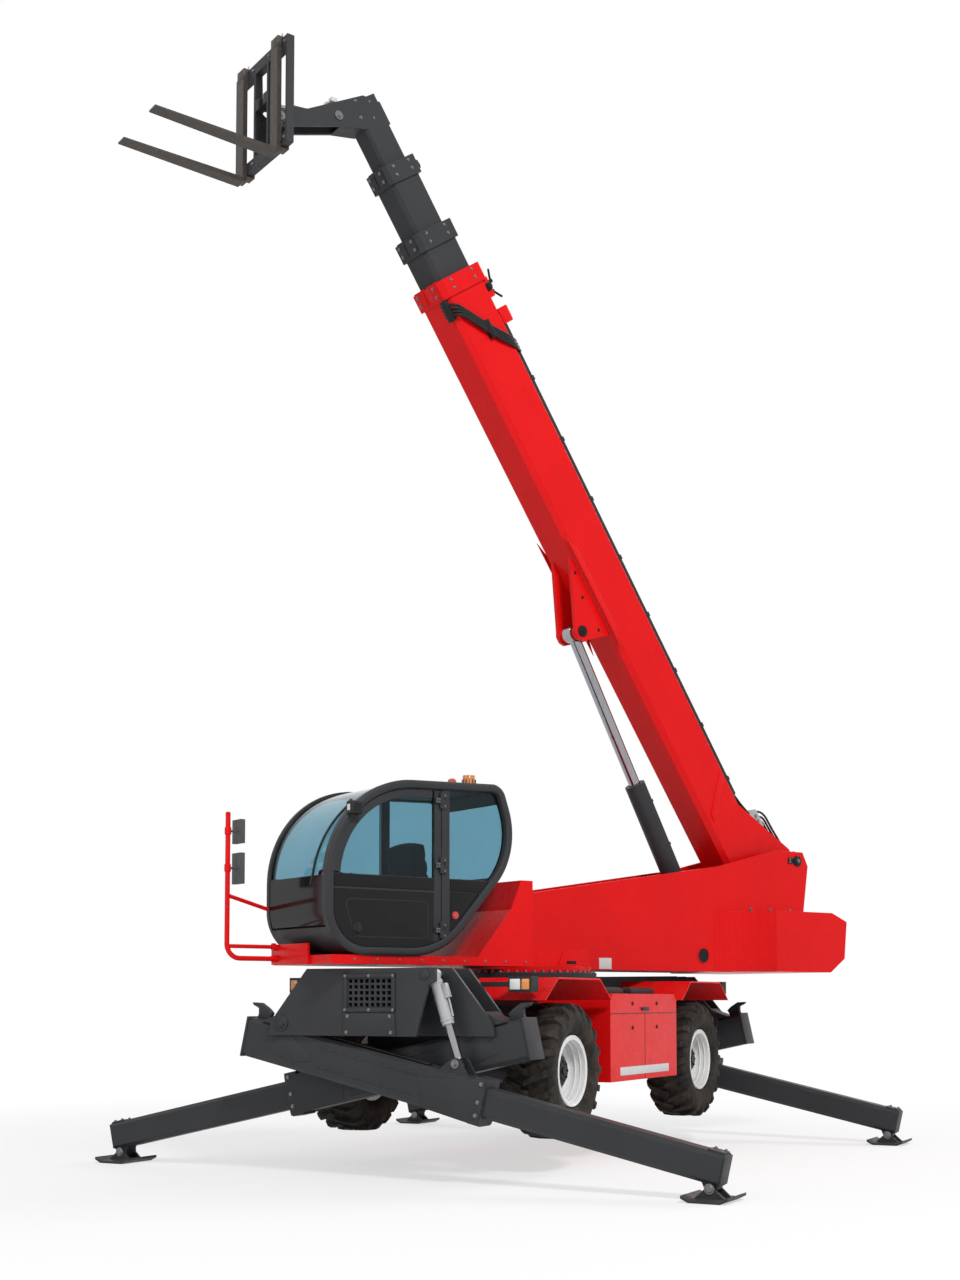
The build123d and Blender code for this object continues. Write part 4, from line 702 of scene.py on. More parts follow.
def cab_shell():
    """The cab's frame, walls and panes, rounder in front than the solids that they replace."""
    left, right, wall, edge = CAB_LEFT, CAB_RIGHT, CAB_WALL, CAB_FRAME
    span = (right + wall, left - wall)
    body = Shape()
    body.moulding(CAB_CORNERS, [(0.0, left - wall), (-0.004, left + 0.014), (0.006, left + 0.026),
                                (0.020, left + 0.030), (0.046, left + 0.030), (0.060, left + 0.024),
                                (edge, left + 0.012), (edge, left - wall)], 24)
    body.moulding(CAB_CORNERS, [(0.0, right + wall), (0.0, right + 0.01), (0.01, right), (edge, right),
                                (edge, right + wall)], 24)
    follow(body, lambda x, z: not in_screen(x, z) and not in_rear_pane(x, z), 0.0, wall, *span)
    inside = cab_line(edge - 0.006)
    body.plate(within(inside, x_high=PILLAR_REAR, z_high=BELT), left - wall, left)
    body.plate(within(inside, PILLAR_REAR, PILLAR_FRONT), left - wall, left + 0.003)
    body.plate(within(inside, z_high=BELT), right, right + wall)
    body.plate(within(inside, PILLAR_REAR, PILLAR_FRONT, BELT), right, right + wall)
    for level in HINGE_LEVELS:
        for z in (level, level + 2 * HINGE_HEIGHT):
            hinge_leaf(body, z, PILLAR_FRONT - 0.04, PILLAR_FRONT)
    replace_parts(body.done("cab_body", "turret", GREY), "cab_shell")

    skirt = follow(Shape(), lambda x, z: in_screen(x, z) and z < BELT, 0.006, 0.014, *span)
    skirt.done("screen_skirt", "turret", GLOSS_BLACK, 60.0)
    panes = Shape()
    for keep in (in_screen, in_rear_pane):
        follow(panes, keep, PANE_FRONT, PANE_BACK, *span)
    pane = cab_line(edge - 0.003)
    for y, x_low, x_high in ((left, None, PILLAR_REAR), (right + 0.048, None, PILLAR_REAR),
                             (right + 0.048, PILLAR_FRONT, None)):
        panes.plate(within(pane, x_low, x_high, BELT), y - PANE_BACK, y - PANE_FRONT)
    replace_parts(panes.done("cab_panes", "turret", GLASS, 60.0), "cab_glass")


def hinge_leaf(shape, z, x0, x1):
    """One knuckle of a hinge with the leaf that carries it."""
    x, top = PILLAR_FRONT + HINGE_RADIUS, z + HINGE_HEIGHT - 0.0005
    shape.bar((x, HINGE_FACE, z), (x, HINGE_FACE, top), HINGE_RADIUS, 24)
    shape.box((x0, CAB_LEFT - 0.001, z), (x1, HINGE_FACE, top), 0.002)


def door():
    left, stile = CAB_LEFT, DOOR_EDGE + DOOR_STILE
    rear, depth = PILLAR_FRONT + 0.006, left - 0.045
    post = rear + DOOR_STILE
    body = Shape()
    whole = within(cab_line(DOOR_EDGE), rear)
    body.plate(within(whole, z_high=BELT), depth, left)
    body.plate(within(whole, x_high=post, z_low=BELT), depth, left)
    follow(body, lambda x, z: x > post and z > BELT, DOOR_EDGE, stile, depth, left)
    for level in HINGE_LEVELS:
        hinge_leaf(body, level + HINGE_HEIGHT, PILLAR_FRONT + HINGE_RADIUS, PILLAR_FRONT + 0.07)
    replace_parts(body.done("door_body", "door", GREY), "door_frame")
    pane = within(cab_line(stile - 0.005), x_low=post - 0.005, z_low=BELT - 0.005)
    glass = Shape().plate(pane, left - PANE_BACK, left - PANE_FRONT)
    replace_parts(glass.done("door_pane", "door", GLASS), "door_glass")


def cab():
    left = CAB_LEFT
    for name, body, oval, x_low, x_high, band_gap, panel_gap in (
            ("rear_side_panel", "turret", cab_line(0.068), None, PILLAR_REAR - 0.008, 0.008, 0.115),
            ("door_panel", "door", cab_line(0.080), 1.962, None, 0.006, 0.125)):
        panel = Shape()
        for z_low, gap, proud in ((None, panel_gap, 0.005), (BELT - 0.105, band_gap, 0.008)):
            outline = within(oval, x_low, x_high, z_low, BELT - gap)
            panel.plate(outline, left - 0.001, left + proud, bevel=0.002)
        panel.done(name, body, GLOSS_BLACK)

    handle = Shape()
    handle.moulding([(2.02, 1.69, 0.05), (2.75, 1.69, 0.10), (2.85, 2.01, 0.05), (2.02, 2.01, 0.05)],
                    [(inset, left + out) for inset, out in ((0.0, 0.004), (0.0, 0.0065), (0.006, 0.0075),
                                                            (0.012, 0.0065), (0.012, 0.004))], 10)
    handle.bar((2.72, left + 0.004, 1.77), (2.72, left + 0.016, 1.77), 0.048, 32, 0.044)
    handle.bar((2.72, left + 0.016, 1.77), (2.72, left + 0.022, 1.77), 0.030, 24, 0.026)
    handle.box((2.705, left + 0.016, 1.73), (2.735, left + 0.030, 1.81), 0.004)
    handle.done("door_handle", "door", PLASTIC)
    for name, body, columns, rows in (("door_hinge_bolts", "door", (1.915, 1.938), (0.056, 0.079)),
                                      ("pillar_hinge_bolts", "turret", (1.858,), (0.022, 0.112))):
        bolts = Shape()
        for level in HINGE_LEVELS:
            for x in columns:
                for z in rows:
                    bolts.bolt((x, HINGE_FACE, level + z), (0, 1, 0), 0.0075, 0.008)
        bolts.done(name, body, STEEL)

    button = Shape().boss((1.745, left + 0.004, 1.90), (0, 1, 0), 0.032, 0.018)
    button.done("stop_button", "turret", RED_LENS)

    glass_line = sorted(((x, z) for x, z in cab_line(0.008)[::4] if x > 2.62 and z > 2.10),
                        key=lambda point: point[1])
    count = len(glass_line)
    wiper = Shape()
    wiper.tube([(x, 0.95 + 0.16 * index / count, z) for index, (x, z) in enumerate(glass_line)], 0.011)
    wiper.tube([(x + 0.012, 0.98 + 0.15 * index / count, z) for index, (x, z) in enumerate(glass_line)
                if index > count / 3], 0.007)
    x, z = glass_line[-1]
    wiper.bar((x - 0.02, 1.11, z - 0.02), (x + 0.02, 1.11, z + 0.02), 0.022)
    wiper.done("wiper", "turret", PLASTIC)

    lamp = Shape()
    lamp.box((2.723, left + 0.004, 2.69), (2.833, left + 0.090, 2.80), 0.014)
    lamp.box((2.708, left + 0.004, 2.725), (2.728, left + 0.060, 2.765), 0.004)
    for k in range(4):
        lamp.box((2.720, left + 0.092, 2.705 + 0.022 * k), (2.81, left + 0.098, 2.714 + 0.022 * k), 0.002)
    lamp.done("work_lamp", "turret", PLASTIC)
    face = Shape().box((2.830, left + 0.028, 2.718), (2.836, left + 0.068, 2.770), 0.005)
    face.done("work_lamp_lens", "turret", CLEAR)

    roof = Shape().plate(on_roof(1.40, 2.05, -0.002, 0.012), 0.34, 0.94, bevel=0.004)
    for k in range(4):
        roof.plate(on_roof(1.46, 1.99, 0.008, 0.018), 0.42 + 0.14 * k, 0.45 + 0.14 * k, bevel=0.003)
    roof.done("roof_hatch", "turret", GREY)
    dome = [(0.0, 0.046), (0.012, 0.046), (0.016, 0.040), (0.048, 0.036), (0.060, 0.022), (0.062, 0.002),
            (0.0, 0.002)]
    base = roof_at(RED_LIGHT_X) - 0.002
    red_light = Shape().ring_at((RED_LIGHT_X, ROOF_LIGHT_Y, base), (0, 0, 1), dome, 32)
    red_light.done("red_light", "turret", RED_LENS)
    base = roof_at(BEACON_X) - 0.003
    foot = [(0.0, 0.0552), (0.0, 0.070), (0.016, 0.070), (0.022, 0.062), (0.022, 0.0552)]
    cage = Shape().ring_at((BEACON_X, ROOF_LIGHT_Y, base), (0, 0, 1), foot, 32)
    for out_x, out_y in around(12, 0.060):
        x, y = BEACON_X + out_x, ROOF_LIGHT_Y + out_y
        cage.bar((x, y, base + 0.012), (x, y, base + 0.060), 0.003, 8)
    cage.done("beacon_cage", "turret", PLASTIC)


def stuffed(low, high, channels):
    """A padded block: its edges and corners are drawn in, and its top has sewn channels."""
    shape = Shape()
    low, high = Vector(low), Vector(high)
    centre, half = (low + high) / 2, (high - low) / 2
    made = bmesh.ops.create_cube(shape.mesh, size=2.0)["verts"]
    edges = list({edge for vert in made for edge in vert.link_edges})
    bmesh.ops.subdivide_edges(shape.mesh, edges=edges, cuts=SEAT_CUTS, use_grid_fill=True)
    for vert in shape.mesh.verts:
        u, v, w = vert.co
        ball = Vector((u * math.sqrt(1 - v * v / 2 - w * w / 2 + v * v * w * w / 3),
                       v * math.sqrt(1 - u * u / 2 - w * w / 2 + u * u * w * w / 3),
                       w * math.sqrt(1 - u * u / 2 - v * v / 2 + u * u * v * v / 3)))
        soft = Vector((u, v, w)).lerp(ball, SEAT_FULLNESS)
        place = centre + Vector((soft.x * half.x, soft.y * half.y, soft.z * half.z))
        if w > 0.3:
            place.z -= 0.016 * sum(math.exp(-((u - c) / 0.06) ** 2) for c in channels)
        vert.co = place
    return shape


def interior():
    middle, floor, seat = (CAB_LEFT + CAB_RIGHT) / 2, CAB_FLOOR, SEAT_TOP
    cushion = stuffed((1.82, middle - 0.25, seat), (2.34, middle + 0.25, seat + 0.14), (-0.45, 0.0, 0.45))
    cushion = cushion.done("seat_cushion", "turret", CLOTH, 80.0)
    lean = Matrix.Translation((1.90, middle, seat + 0.12)) @ Matrix.Rotation(math.radians(-82), 4, "Y")
    back = stuffed((0.0, -0.24, -0.02), (0.56, 0.24, 0.11), (-0.5, 0.0, 0.5))
    back = back.done("seat_back", "turret", CLOTH, 80.0, place=TURRET @ lean)
    base = Shape()
    for k in range(5):
        out = 0.012 if k % 2 else 0.0
        base.box((1.94 - out, middle - 0.16 - out, floor + 0.045 * k),
                 (2.26 + out, middle + 0.16 + out, floor + 0.045 * (k + 1)), 0.008)
    knob = [(0.0, 0.016), (0.03, 0.026), (0.08, 0.024), (0.10, 0.010), (0.10, 0.001), (0.0, 0.001)]
    for side in SIDES:
        y, y0, y1 = (middle + side * out for out in (0.32, 0.27, 0.37))
        base.box((1.92, y0, seat + 0.10), (2.30, y1, seat + 0.20), 0.02)
        base.box((2.00, y0, floor + 0.06), (2.12, y1, seat + 0.12), 0.01)
        base.tube([(2.24, y, seat + 0.19), (2.25, y, seat + 0.26), (2.27, y, seat + 0.31),
                   (2.27, y, seat + 0.35)], 0.012)
        base.ring_at((2.27, y, seat + 0.33), (0.1, 0, 1), knob, 24)
    base.done("seat_base", "turret", PLASTIC)
    column = Shape().plate([(2.52, 1.602), (2.69, 1.602), (2.64, 2.16), (2.56, 2.16)],
                           middle - 0.085, middle + 0.085, bevel=0.012)
    column.bar((2.60, middle, 2.12), (2.572, middle, 2.20), 0.04)
    column.done("steering_column", "turret", PLASTIC)
    axis, hub = Vector((-0.35, 0.0, 0.94)).normalized(), Vector((2.58, middle, 2.20))
    wheel = Shape().ring_at(hub, axis, [(along, 0.18 + out) for out, along in around(10, 0.014)], 48)
    wheel.ring_at(hub, axis, [(-0.02, 0.001), (-0.02, 0.05), (0.010, 0.044), (0.016, 0.001)], 24)
    for turn in (90, 210, 330):
        arm = Matrix.Rotation(math.radians(turn), 3, axis) @ Vector((0, 1, 0))
        wheel.bar(hub + arm * 0.03, hub + arm * 0.178, 0.011, 12)
    wheel.done("steering_wheel", "turret", PLASTIC)
    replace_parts(cushion, "cab_interior")

    dash = sorted(((x, z) for x, z in cab_line(0.070)[::4] if x > 2.70 and 1.66 < z < 2.18),
                  key=lambda point: point[1])
    inner = [(x - 0.05 - 0.09 * (z - 1.6), z) for x, z in reversed(dash)]
    board = Shape().plate(dash + inner, CAB_RIGHT + 0.38, CAB_LEFT - 0.075)
    board.done("dash_panel", "turret", PLASTIC)


# Turret

def turret():
    side = TURRET_SIDE
    other = 2 * BOOM_Y - side
    tag = Shape().box((-0.80, side - 0.001, 1.485), (-0.64, side + 0.003, 1.595), 0.001)
    tag.done("blank_plate", "turret", WHITE_PAINT)
    cover = Shape().plate([(-0.52, 1.480), (-0.10, 1.480), (-0.19, 1.655), (-0.48, 1.655)],
                          side - 0.001, side + 0.012, bevel=0.004)
    cover.done("side_cover", "turret", RED)
    # Painted shade: a black plate stands for the shaded opening of the cover's slot.
    slot = Shape().box((-0.34, side + 0.010, 1.530), (-0.22, side + 0.016, 1.560), 0.004)
    slot.done("cover_slot_shade", "turret", BLACK_PAINT)
    x, z = PORT
    shade = Shape().bar((x, side - 0.002, z), (x, side + 0.003, z), 0.076, 48)
    shade.done("port_shade", "turret", BLACK_PAINT)
    lip = [(-0.006, 0.074), (0.008, 0.074), (0.010, 0.081), (0.006, 0.088), (-0.002, 0.090)]
    Shape().ring_at((x, side, z), (0, 1, 0), lip, 48).done("port_rim", "turret", RED)
    caps, bolts = Shape(), Shape()
    keeper = [(-3.405, 2.655), (-3.33, 2.655), (-3.33, 2.725), (-3.405, 2.725)]
    for y, way in ((side, 1), (other, -1)):
        for (x, z), radius, height in ((BOOM_PIN, 0.058, 0.022), (LIFT_PIN, 0.050, 0.018)):
            caps.boss((x, y, z), (0, way, 0), radius, height)
        caps.plate(keeper, y - way * 0.001, y + way * 0.010, bevel=0.002)
        bolts.bolt((BOOM_PIN[0], y + way * 0.022, BOOM_PIN[1]), (0, way, 0), 0.018, 0.014)
        for z in (2.675, 2.705):
            bolts.bolt((-3.35, y + way * 0.010, z), (0, way, 0), 0.010, 0.010)
        for x in (-2.75, -3.05, -3.35):
            bolts.bolt((x, y, 2.14), (0, way, 0), 0.016, 0.014)
    caps.done("pivot_caps", "turret", BLACK_PAINT)
    bolts.done("pivot_bolts", "turret", STEEL)

    edge = Shape()
    for k in range(9):
        edge.bolt((0.98 + 0.22 * k, CAB_LEFT, 1.5125), (0, 1, 0), 0.008, 0.008)
    edge.done("platform_bolts", "turret", STEEL)
    sweep = Shape()
    for inner, outer in ((side - 0.002, WEIGHT_LEFT), (other + 0.002, WEIGHT_RIGHT)):
        shares = [k / SWEEP_STEPS for k in range(SWEEP_STEPS + 1)]
        line = [(WEIGHT_FRONT + SWEEP_LENGTH * share, inner + (outer - inner) * (1 - share) ** 2)
                for share in shares]
        for (x0, y0), (x1, y1) in zip(line, line[1:]):
            sweep.hull([(x, y, z) for x, y in ((x0, inner), (x0, y0), (x1, inner), (x1, y1))
                        for z in (WEIGHT_LOW, WEIGHT_TOP)])
    sweep.done("weight_sweep", "turret", RED, 30.0)
    x, y = RAIL_POST
    apron = Shape().box((2.959, 0.255, 1.478), (2.985, 0.86, 1.65), 0.004)
    apron.bar((2.984, y, 1.63), (3.43, y, 1.63), 0.017, 24)
    apron.bar((3.012, 0.245, 1.95), (3.43, y, 2.05), 0.017, 24)
    apron.done("rail_apron", "turret", RED)
    clamps = Shape()
    for z in (1.53, 1.63):
        clamps.bar((2.984, y, z), (3.012, y, z), 0.032, 24)
    clamps.bar((x, y, 2.735), (x, y, 2.750), 0.024, 24, 0.016)
    for level in (2.28, 2.59):
        clamps.bar((x, y, level - 0.03), (x, y, level + 0.03), 0.028, 24)
    clamps.done("rail_clamps", "turret", RED)


# Boom

def boom():
    top, low, half = BOOM_TOP, BOOM_LOW, BASE_WIDTH / 2
    tray, clips = Shape(), Shape()
    tray.box((0.98, 0.070, top - 0.001), (6.37, 0.160, top + 0.046), 0.006)
    for k in range(TRAY_CLIPS):
        x = 1.15 + TRAY_PITCH * k
        tray.box((x, 0.060, top - 0.001), (x + 0.05, 0.168, top + 0.054), 0.004)
        clips.bolt((x + 0.025, 0.115, top + 0.054), (0, 0, 1), 0.011, 0.012)
    tray.bar((0.98, 0.040, top + 0.014), (6.40, 0.040, top + 0.014), 0.014, 16)
    tray.done("hose_tray", "boom", PLASTIC)
    clips.done("tray_bolts", "boom", STEEL)

    pipes = Shape()
    route = ((6.78, 0.10, low - 0.016), (6.77, 0.19, low - 0.014), (6.75, 0.250, low + 0.03),
             (6.69, 0.252, low + 0.09), (6.43, 0.250, -0.46), (6.25, 0.240, -0.27),
             (6.20, 0.205, top - 0.005), (6.18, 0.15, top + 0.060), (6.17, 0.10, top + 0.062))
    for k in range(4):
        pipes.tube([(x - 0.034 * k, y, z) for x, y, z in route], 0.013)
    pipes.done("boom_pipes", "boom", HOSE, 60.0)
    clamps = Shape().box((6.62, 0.13, low - 0.045), (6.82, 0.205, low + 0.002), 0.006)
    clamps.box((6.31, half - 0.002, -0.50), (6.49, half + 0.050, -0.44), 0.006)
    clamps.done("pipe_clamps", "boom", BLACK_PAINT)

    brackets = Shape().box((6.65, 0.050, top - 0.001), (6.85, 0.165, top + 0.070), 0.010)
    brackets.box((6.37, 0.050, top - 0.001), (6.53, 0.180, top + 0.130), 0.012)
    brackets.done("tip_brackets", "boom", RED)
    taps = Shape()
    for start, end, radius, sides in (
            ((6.79, 0.11, 0.06), (6.79, 0.11, 0.15), 0.020, 24),
            ((6.70, 0.11, 0.06), (6.70, 0.11, 0.12), 0.016, 24),
            ((6.78, 0.11, 0.13), (6.90, 0.13, 0.16), 0.011, 16),
            ((6.70, 0.11, 0.11), (6.61, 0.13, 0.17), 0.011, 16)):
        taps.bar(*((x, y, top + z) for x, y, z in (start, end)), radius, sides)
    taps.boss((6.75, 0.165, top + 0.03), (0, 1, 0), 0.040, 0.030)
    taps.done("tip_valves", "boom", BLACK_PAINT)

    valve, feed = Shape(), Shape()
    valve.box((0.46, 0.02, -0.14), (0.68, 0.15, 0.02), 0.008)
    for k in range(3):
        x, y = 0.50 + 0.065 * k, 0.04 + 0.04 * k
        valve.bar((x, 0.085, 0.018), (x, 0.085, 0.060), 0.020, 6)
        valve.bar((x, 0.150, -0.03), (x, 0.185, -0.03), 0.016, 16)
        feed.tube([(x, 0.085, 0.05), (0.49 + 0.06 * k, y, 0.12), (0.34, y, 0.13), (0.16, y, 0.155),
                   (0.02, y, 0.156), (-0.05, y, 0.135)], 0.012)
        feed.tube([(0.66, 0.05 + 0.03 * k, -0.06), (0.74, 0.05 + 0.03 * k, -0.09),
                   (0.86, 0.08 + 0.03 * k, -0.15), (1.00, 0.09 + 0.02 * k, top + 0.03)], 0.012)
    valve.done("foot_valve", "boom", JACK_GREY)
    feed.done("foot_pipes", "boom", HOSE, 60.0)

    caps, ribs = Shape(), Shape()
    x, z = LIFT_EYE
    for way in SIDES:
        y = way * 0.155
        caps.boss((x, y, z), (0, way, 0), 0.056, 0.020)
        caps.bolt((x, y + way * 0.020, z), (0, way, 0), 0.016, 0.012)
        for bolt_x, bolt_z in ((3.33, -0.86), (3.70, -0.86), (3.95, -0.80)):
            caps.bolt((bolt_x, y, bolt_z), (0, way, 0), 0.012, 0.010)
        caps.boss((0.0, way * (CHANNEL_HALF - 0.004), 0.0), (0, -way, 0), 0.10, 0.004)
        start, end = sorted((way * (half - 0.002), way * (half + 0.010)))
        for outline in ([(0.92, -0.66), (1.02, -0.66), (1.32, -0.28), (1.22, -0.28)],
                        [(3.05, -0.755), (4.35, -0.755), (4.10, -0.690), (3.30, -0.690)]):
            ribs.plate(outline, start, end, bevel=0.003)
    caps.done("lift_lug_caps", "boom", BLACK_PAINT)
    ribs.done("boom_stiffeners", "boom", RED)


def collars():
    """Bolts and pads on the tips of three sections, pulleys on two and a guide rod on the first of those."""
    sheave = [(-0.020, 0.008), (-0.020, 0.044), (-0.008, 0.036), (0.008, 0.036), (0.020, 0.044),
              (0.020, 0.008)]
    for body, tip, width, height in (("boom", BASE_TIP, BASE_WIDTH, BASE_HEIGHT),) + STAGES:
        side = width / 2 + COLLAR
        top, low = -BOOM_DROP + height / 2 + COLLAR, -BOOM_DROP - height / 2 - COLLAR
        bolts, pads = Shape(), Shape()
        for way in SIDES:
            for x in (tip - 0.035, tip - 0.115):
                for share in (-0.28, 0.25):
                    bolts.bolt((x, way * side, -BOOM_DROP + share * height), (0, way, 0), 0.012, 0.011)
                bolts.bolt((x, way * width * 0.30, low - 0.008), (0, 0, -1), 0.013, 0.012)
                bolts.bolt((x, way * width * 0.30, top + 0.006), (0, 0, 1), 0.012, 0.010)
            y0, y1 = way * width * 0.06, way * (width / 2 - 0.045)
            pads.box((tip - 0.145, y0, low - 0.008), (tip - 0.005, y1, low + 0.002), 0.003)
            pads.box((tip - 0.145, y0, top - 0.002), (tip - 0.005, y1, top + 0.006), 0.003)
            pads.box((tip + 0.0005, y0, low + 0.004), (tip + 0.010, y1, low + 0.030), 0.002)
        bolts.done(body + "_collar_bolts", body, STEEL)
        pads.done(body + "_collar_pads", body, RED if body == "boom" else GREY)
        if body == "boom":
            continue
        x, y, z = tip - 0.10, 0.055, top + 0.030
        pulley = Shape().ring_at((x, y, z), (0, 1, 0), sheave, 32)
        cheek = [(x - 0.065, top - 0.002), (x + 0.07, top - 0.002), (x + 0.04, top + 0.060),
                 (x - 0.03, top + 0.060)]
        for edge in (y - 0.030, y + 0.022):
            pulley.plate(cheek, edge, edge + 0.008, bevel=0.002)
        pulley.bar((x, y - 0.034, z), (x, y + 0.034, z), 0.010, 16)
        pulley.done(body + "_pulley", body, BLACK_PAINT)

    body, tip, _, height = STAGES[0]
    top = -BOOM_DROP + height / 2 + COLLAR
    rod = Shape().bar((6.50, -0.05, -0.130), (tip - 0.05, -0.05, -0.130), 0.014, 24)
    rod.done("guide_rod", body, CHROME)
    saddles = Shape()
    for x in (tip - 0.15, tip - 0.06):
        saddles.plate([(-0.085, top - 0.002), (-0.015, top - 0.002), (-0.028, -0.112), (-0.072, -0.112)],
                      x, x + 0.035, "yz", bevel=0.003)
    saddles.done("rod_saddles", body, BLACK_PAINT)


def nose():
    lamps, eyes, caps = Shape(), Shape(), Shape()
    for way in SIDES:
        y = way * 0.045
        lamps.box((-0.625, y - 0.030, 0.355), (-0.565, y + 0.030, 0.400), 0.008)
        lamps.bar((-0.595, y, 0.310), (-0.595, y, 0.360), 0.010, 12)
        eyes.box((-0.566, y - 0.024, 0.361), (-0.560, y + 0.024, 0.394), 0.004)
        y = way * 0.105
        caps.boss((-0.62, y, 0.22), (0, way, 0), 0.042, 0.016)
        caps.bolt((-0.62, y + way * 0.016, 0.22), (0, way, 0), 0.014, 0.010)
        for x, z in ((-0.80, 0.42), (-0.95, 0.46), (-0.86, 0.28), (-1.00, 0.32)):
            caps.bolt((x, y, z), (0, way, 0), 0.012, 0.010)
    lamps.done("nose_lamps", "stage_3", WHITE_PAINT)
    eyes.done("nose_lamp_lenses", "stage_3", CLEAR)
    caps.done("nose_caps", "stage_3", STEEL)


def carriage():
    top, low = CARRIAGE_TOP, CARRIAGE_BOTTOM
    upper = [(0.128, top - 0.08), (0.177, top - 0.08), (0.177, top + 0.012), (0.165, top + 0.024),
             (0.045, top + 0.024), (0.045, top - 0.04), (0.058, top - 0.04), (0.058, top + 0.002),
             (0.128, top + 0.002)]
    lower = [(0.128, low + 0.095), (0.150, low + 0.095), (0.150, low - 0.015), (0.045, low - 0.015),
             (0.045, low + 0.03), (0.058, low + 0.03), (0.058, low - 0.002), (0.128, low - 0.002)]
    hooks, pins, bolts, notches = Shape(), Shape(), Shape(), Shape()
    for way in SIDES:
        y = way * FORK_Y
        for outline in (upper, lower):
            hooks.plate(outline, y - 0.055, y + 0.055, bevel=0.003)
        pins.plate([(y - 0.022, top + 0.024), (y + 0.022, top + 0.024), (y + 0.006, top + 0.066),
                    (y - 0.006, top + 0.066)], 0.085, 0.097, "yz", bevel=0.001)
        pins.bar((0.091, y, top + 0.02), (0.091, y, top + 0.084), 0.008, 16)
        for y in (way * 0.43, way * 0.15):
            for z in (top - 0.05, low + 0.05):
                bolts.bolt((0.130, y, z), (1, 0, 0), 0.013, 0.012)
        bolts.boss((0.0, way * 0.1355, 0.0), (0, way, 0), 0.040, 0.014)
        bolts.bolt((0.0, way * 0.1495, 0.0), (0, way, 0), 0.013, 0.010)
    for k in range(17):
        y = -0.42 + 0.0525 * k
        notches.box((0.070, y - 0.006, top - 0.0015), (0.124, y + 0.006, top + 0.003), 0.0015)
    hooks.done("fork_hooks", "carriage", FORK)
    pins.done("fork_pins", "carriage", JACK_GREY)
    bolts.done("carriage_bolts", "carriage", STEEL)
    notches.done("carriage_notches", "carriage", GREY)


def lift_cylinder():
    pipe = Shape().tube([(0.30, 0.0, 0.118), (0.36, 0.0, 0.122), (1.00, 0.0, 0.122), (1.80, 0.0, 0.122),
                         (1.93, 0.0, 0.120), (1.98, 0.0, 0.108)], 0.011)
    pipe.box((0.20, -0.045, 0.080), (0.36, 0.045, 0.135), 0.008)
    for x in (0.75, 1.30, 1.80):
        pipe.box((x, -0.022, 0.100), (x + 0.03, 0.022, 0.136), 0.003)
    pipe.done("lift_pipe", "lift_barrel", BLACK_PAINT)


# Chassis

def chassis():
    low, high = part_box("lamps")
    for end, x, where, outer, inner in ((1, high.x, "front", AMBER, CLEAR),
                                        (-1, low.x, "rear", RED_LENS, AMBER)):
        for side, hand in ((1, "left"), (-1, "right")):
            for kind, y0, y1, material in (("outer", 1.088, 1.158, outer), ("inner", 0.982, 1.076, inner)):
                pane = Shape().box((x - end * 0.002, side * y0, LAMP_Z - 0.044),
                                   (x + end * 0.010, side * y1, LAMP_Z + 0.044), 0.006)
                pane.done("_".join(("lens", kind, where, hand)), "chassis", material, slot="lamp")
    bolts = Shape()
    for x, y in around(SLEW_BOLTS, 0.626):
        bolts.bolt((x, y, 1.440), (0, 0, 1), 0.013, 0.022)
    bolts.done("slew_bolts", "chassis", STEEL)

    face = BODY_SIDE - 0.001
    stripe = Shape().box((-0.60, face, 0.500), (0.60, BODY_SIDE + 0.003, 0.575), 0.001)
    stripe.done("cabinet_stripe", "chassis", WHITE_PAINT)
    locks = Shape()
    for x in (0.30, -0.30):
        for z in (0.93, 1.15):
            locks.boss((x, BODY_SIDE, z), (0, 1, 0), 0.018, 0.010)
    locks.box((-0.09, face, 1.085), (0.09, BODY_SIDE + 0.012, 1.115), 0.004)
    locks.done("cabinet_locks", "chassis", BLACK_PAINT)
    mats = Shape()
    for x0, x1 in ((0.08, 0.70), (-0.70, -0.10)):
        mats.box((x0, 0.62, 1.239), (x1, 1.02, 1.290), 0.012)
        for k in range(6):
            y = 0.66 + 0.06 * k
            mats.box((x0 + 0.03, y, 1.286), (x1 - 0.03, y + 0.03, 1.302), 0.006)
    mats.done("deck_mats", "chassis", PLASTIC)
    cap = [(0.0, 0.052), (0.03, 0.052), (0.040, 0.044), (0.055, 0.040), (0.060, 0.030), (0.060, 0.001),
           (0.0, 0.001)]
    Shape().ring_at((-0.02, 0.80, 1.24), (0, 0, 1), cap, 32).done("filler_cap", "chassis", BLACK_PAINT)
    seams = Shape().box((-0.004, face, 0.452), (0.004, BODY_SIDE + 0.0015, 1.06), 0.0005)
    seams.box((-0.815, face, 1.056), (0.815, BODY_SIDE + 0.0015, 1.064), 0.0005)
    seams.done("cabinet_seams", "chassis", BLACK_PAINT)

    for end, turn in (("front", 0.0), ("rear", math.pi)):
        carrier_fittings(end, CHASSIS @ Matrix.Rotation(turn, 4, "Z"))


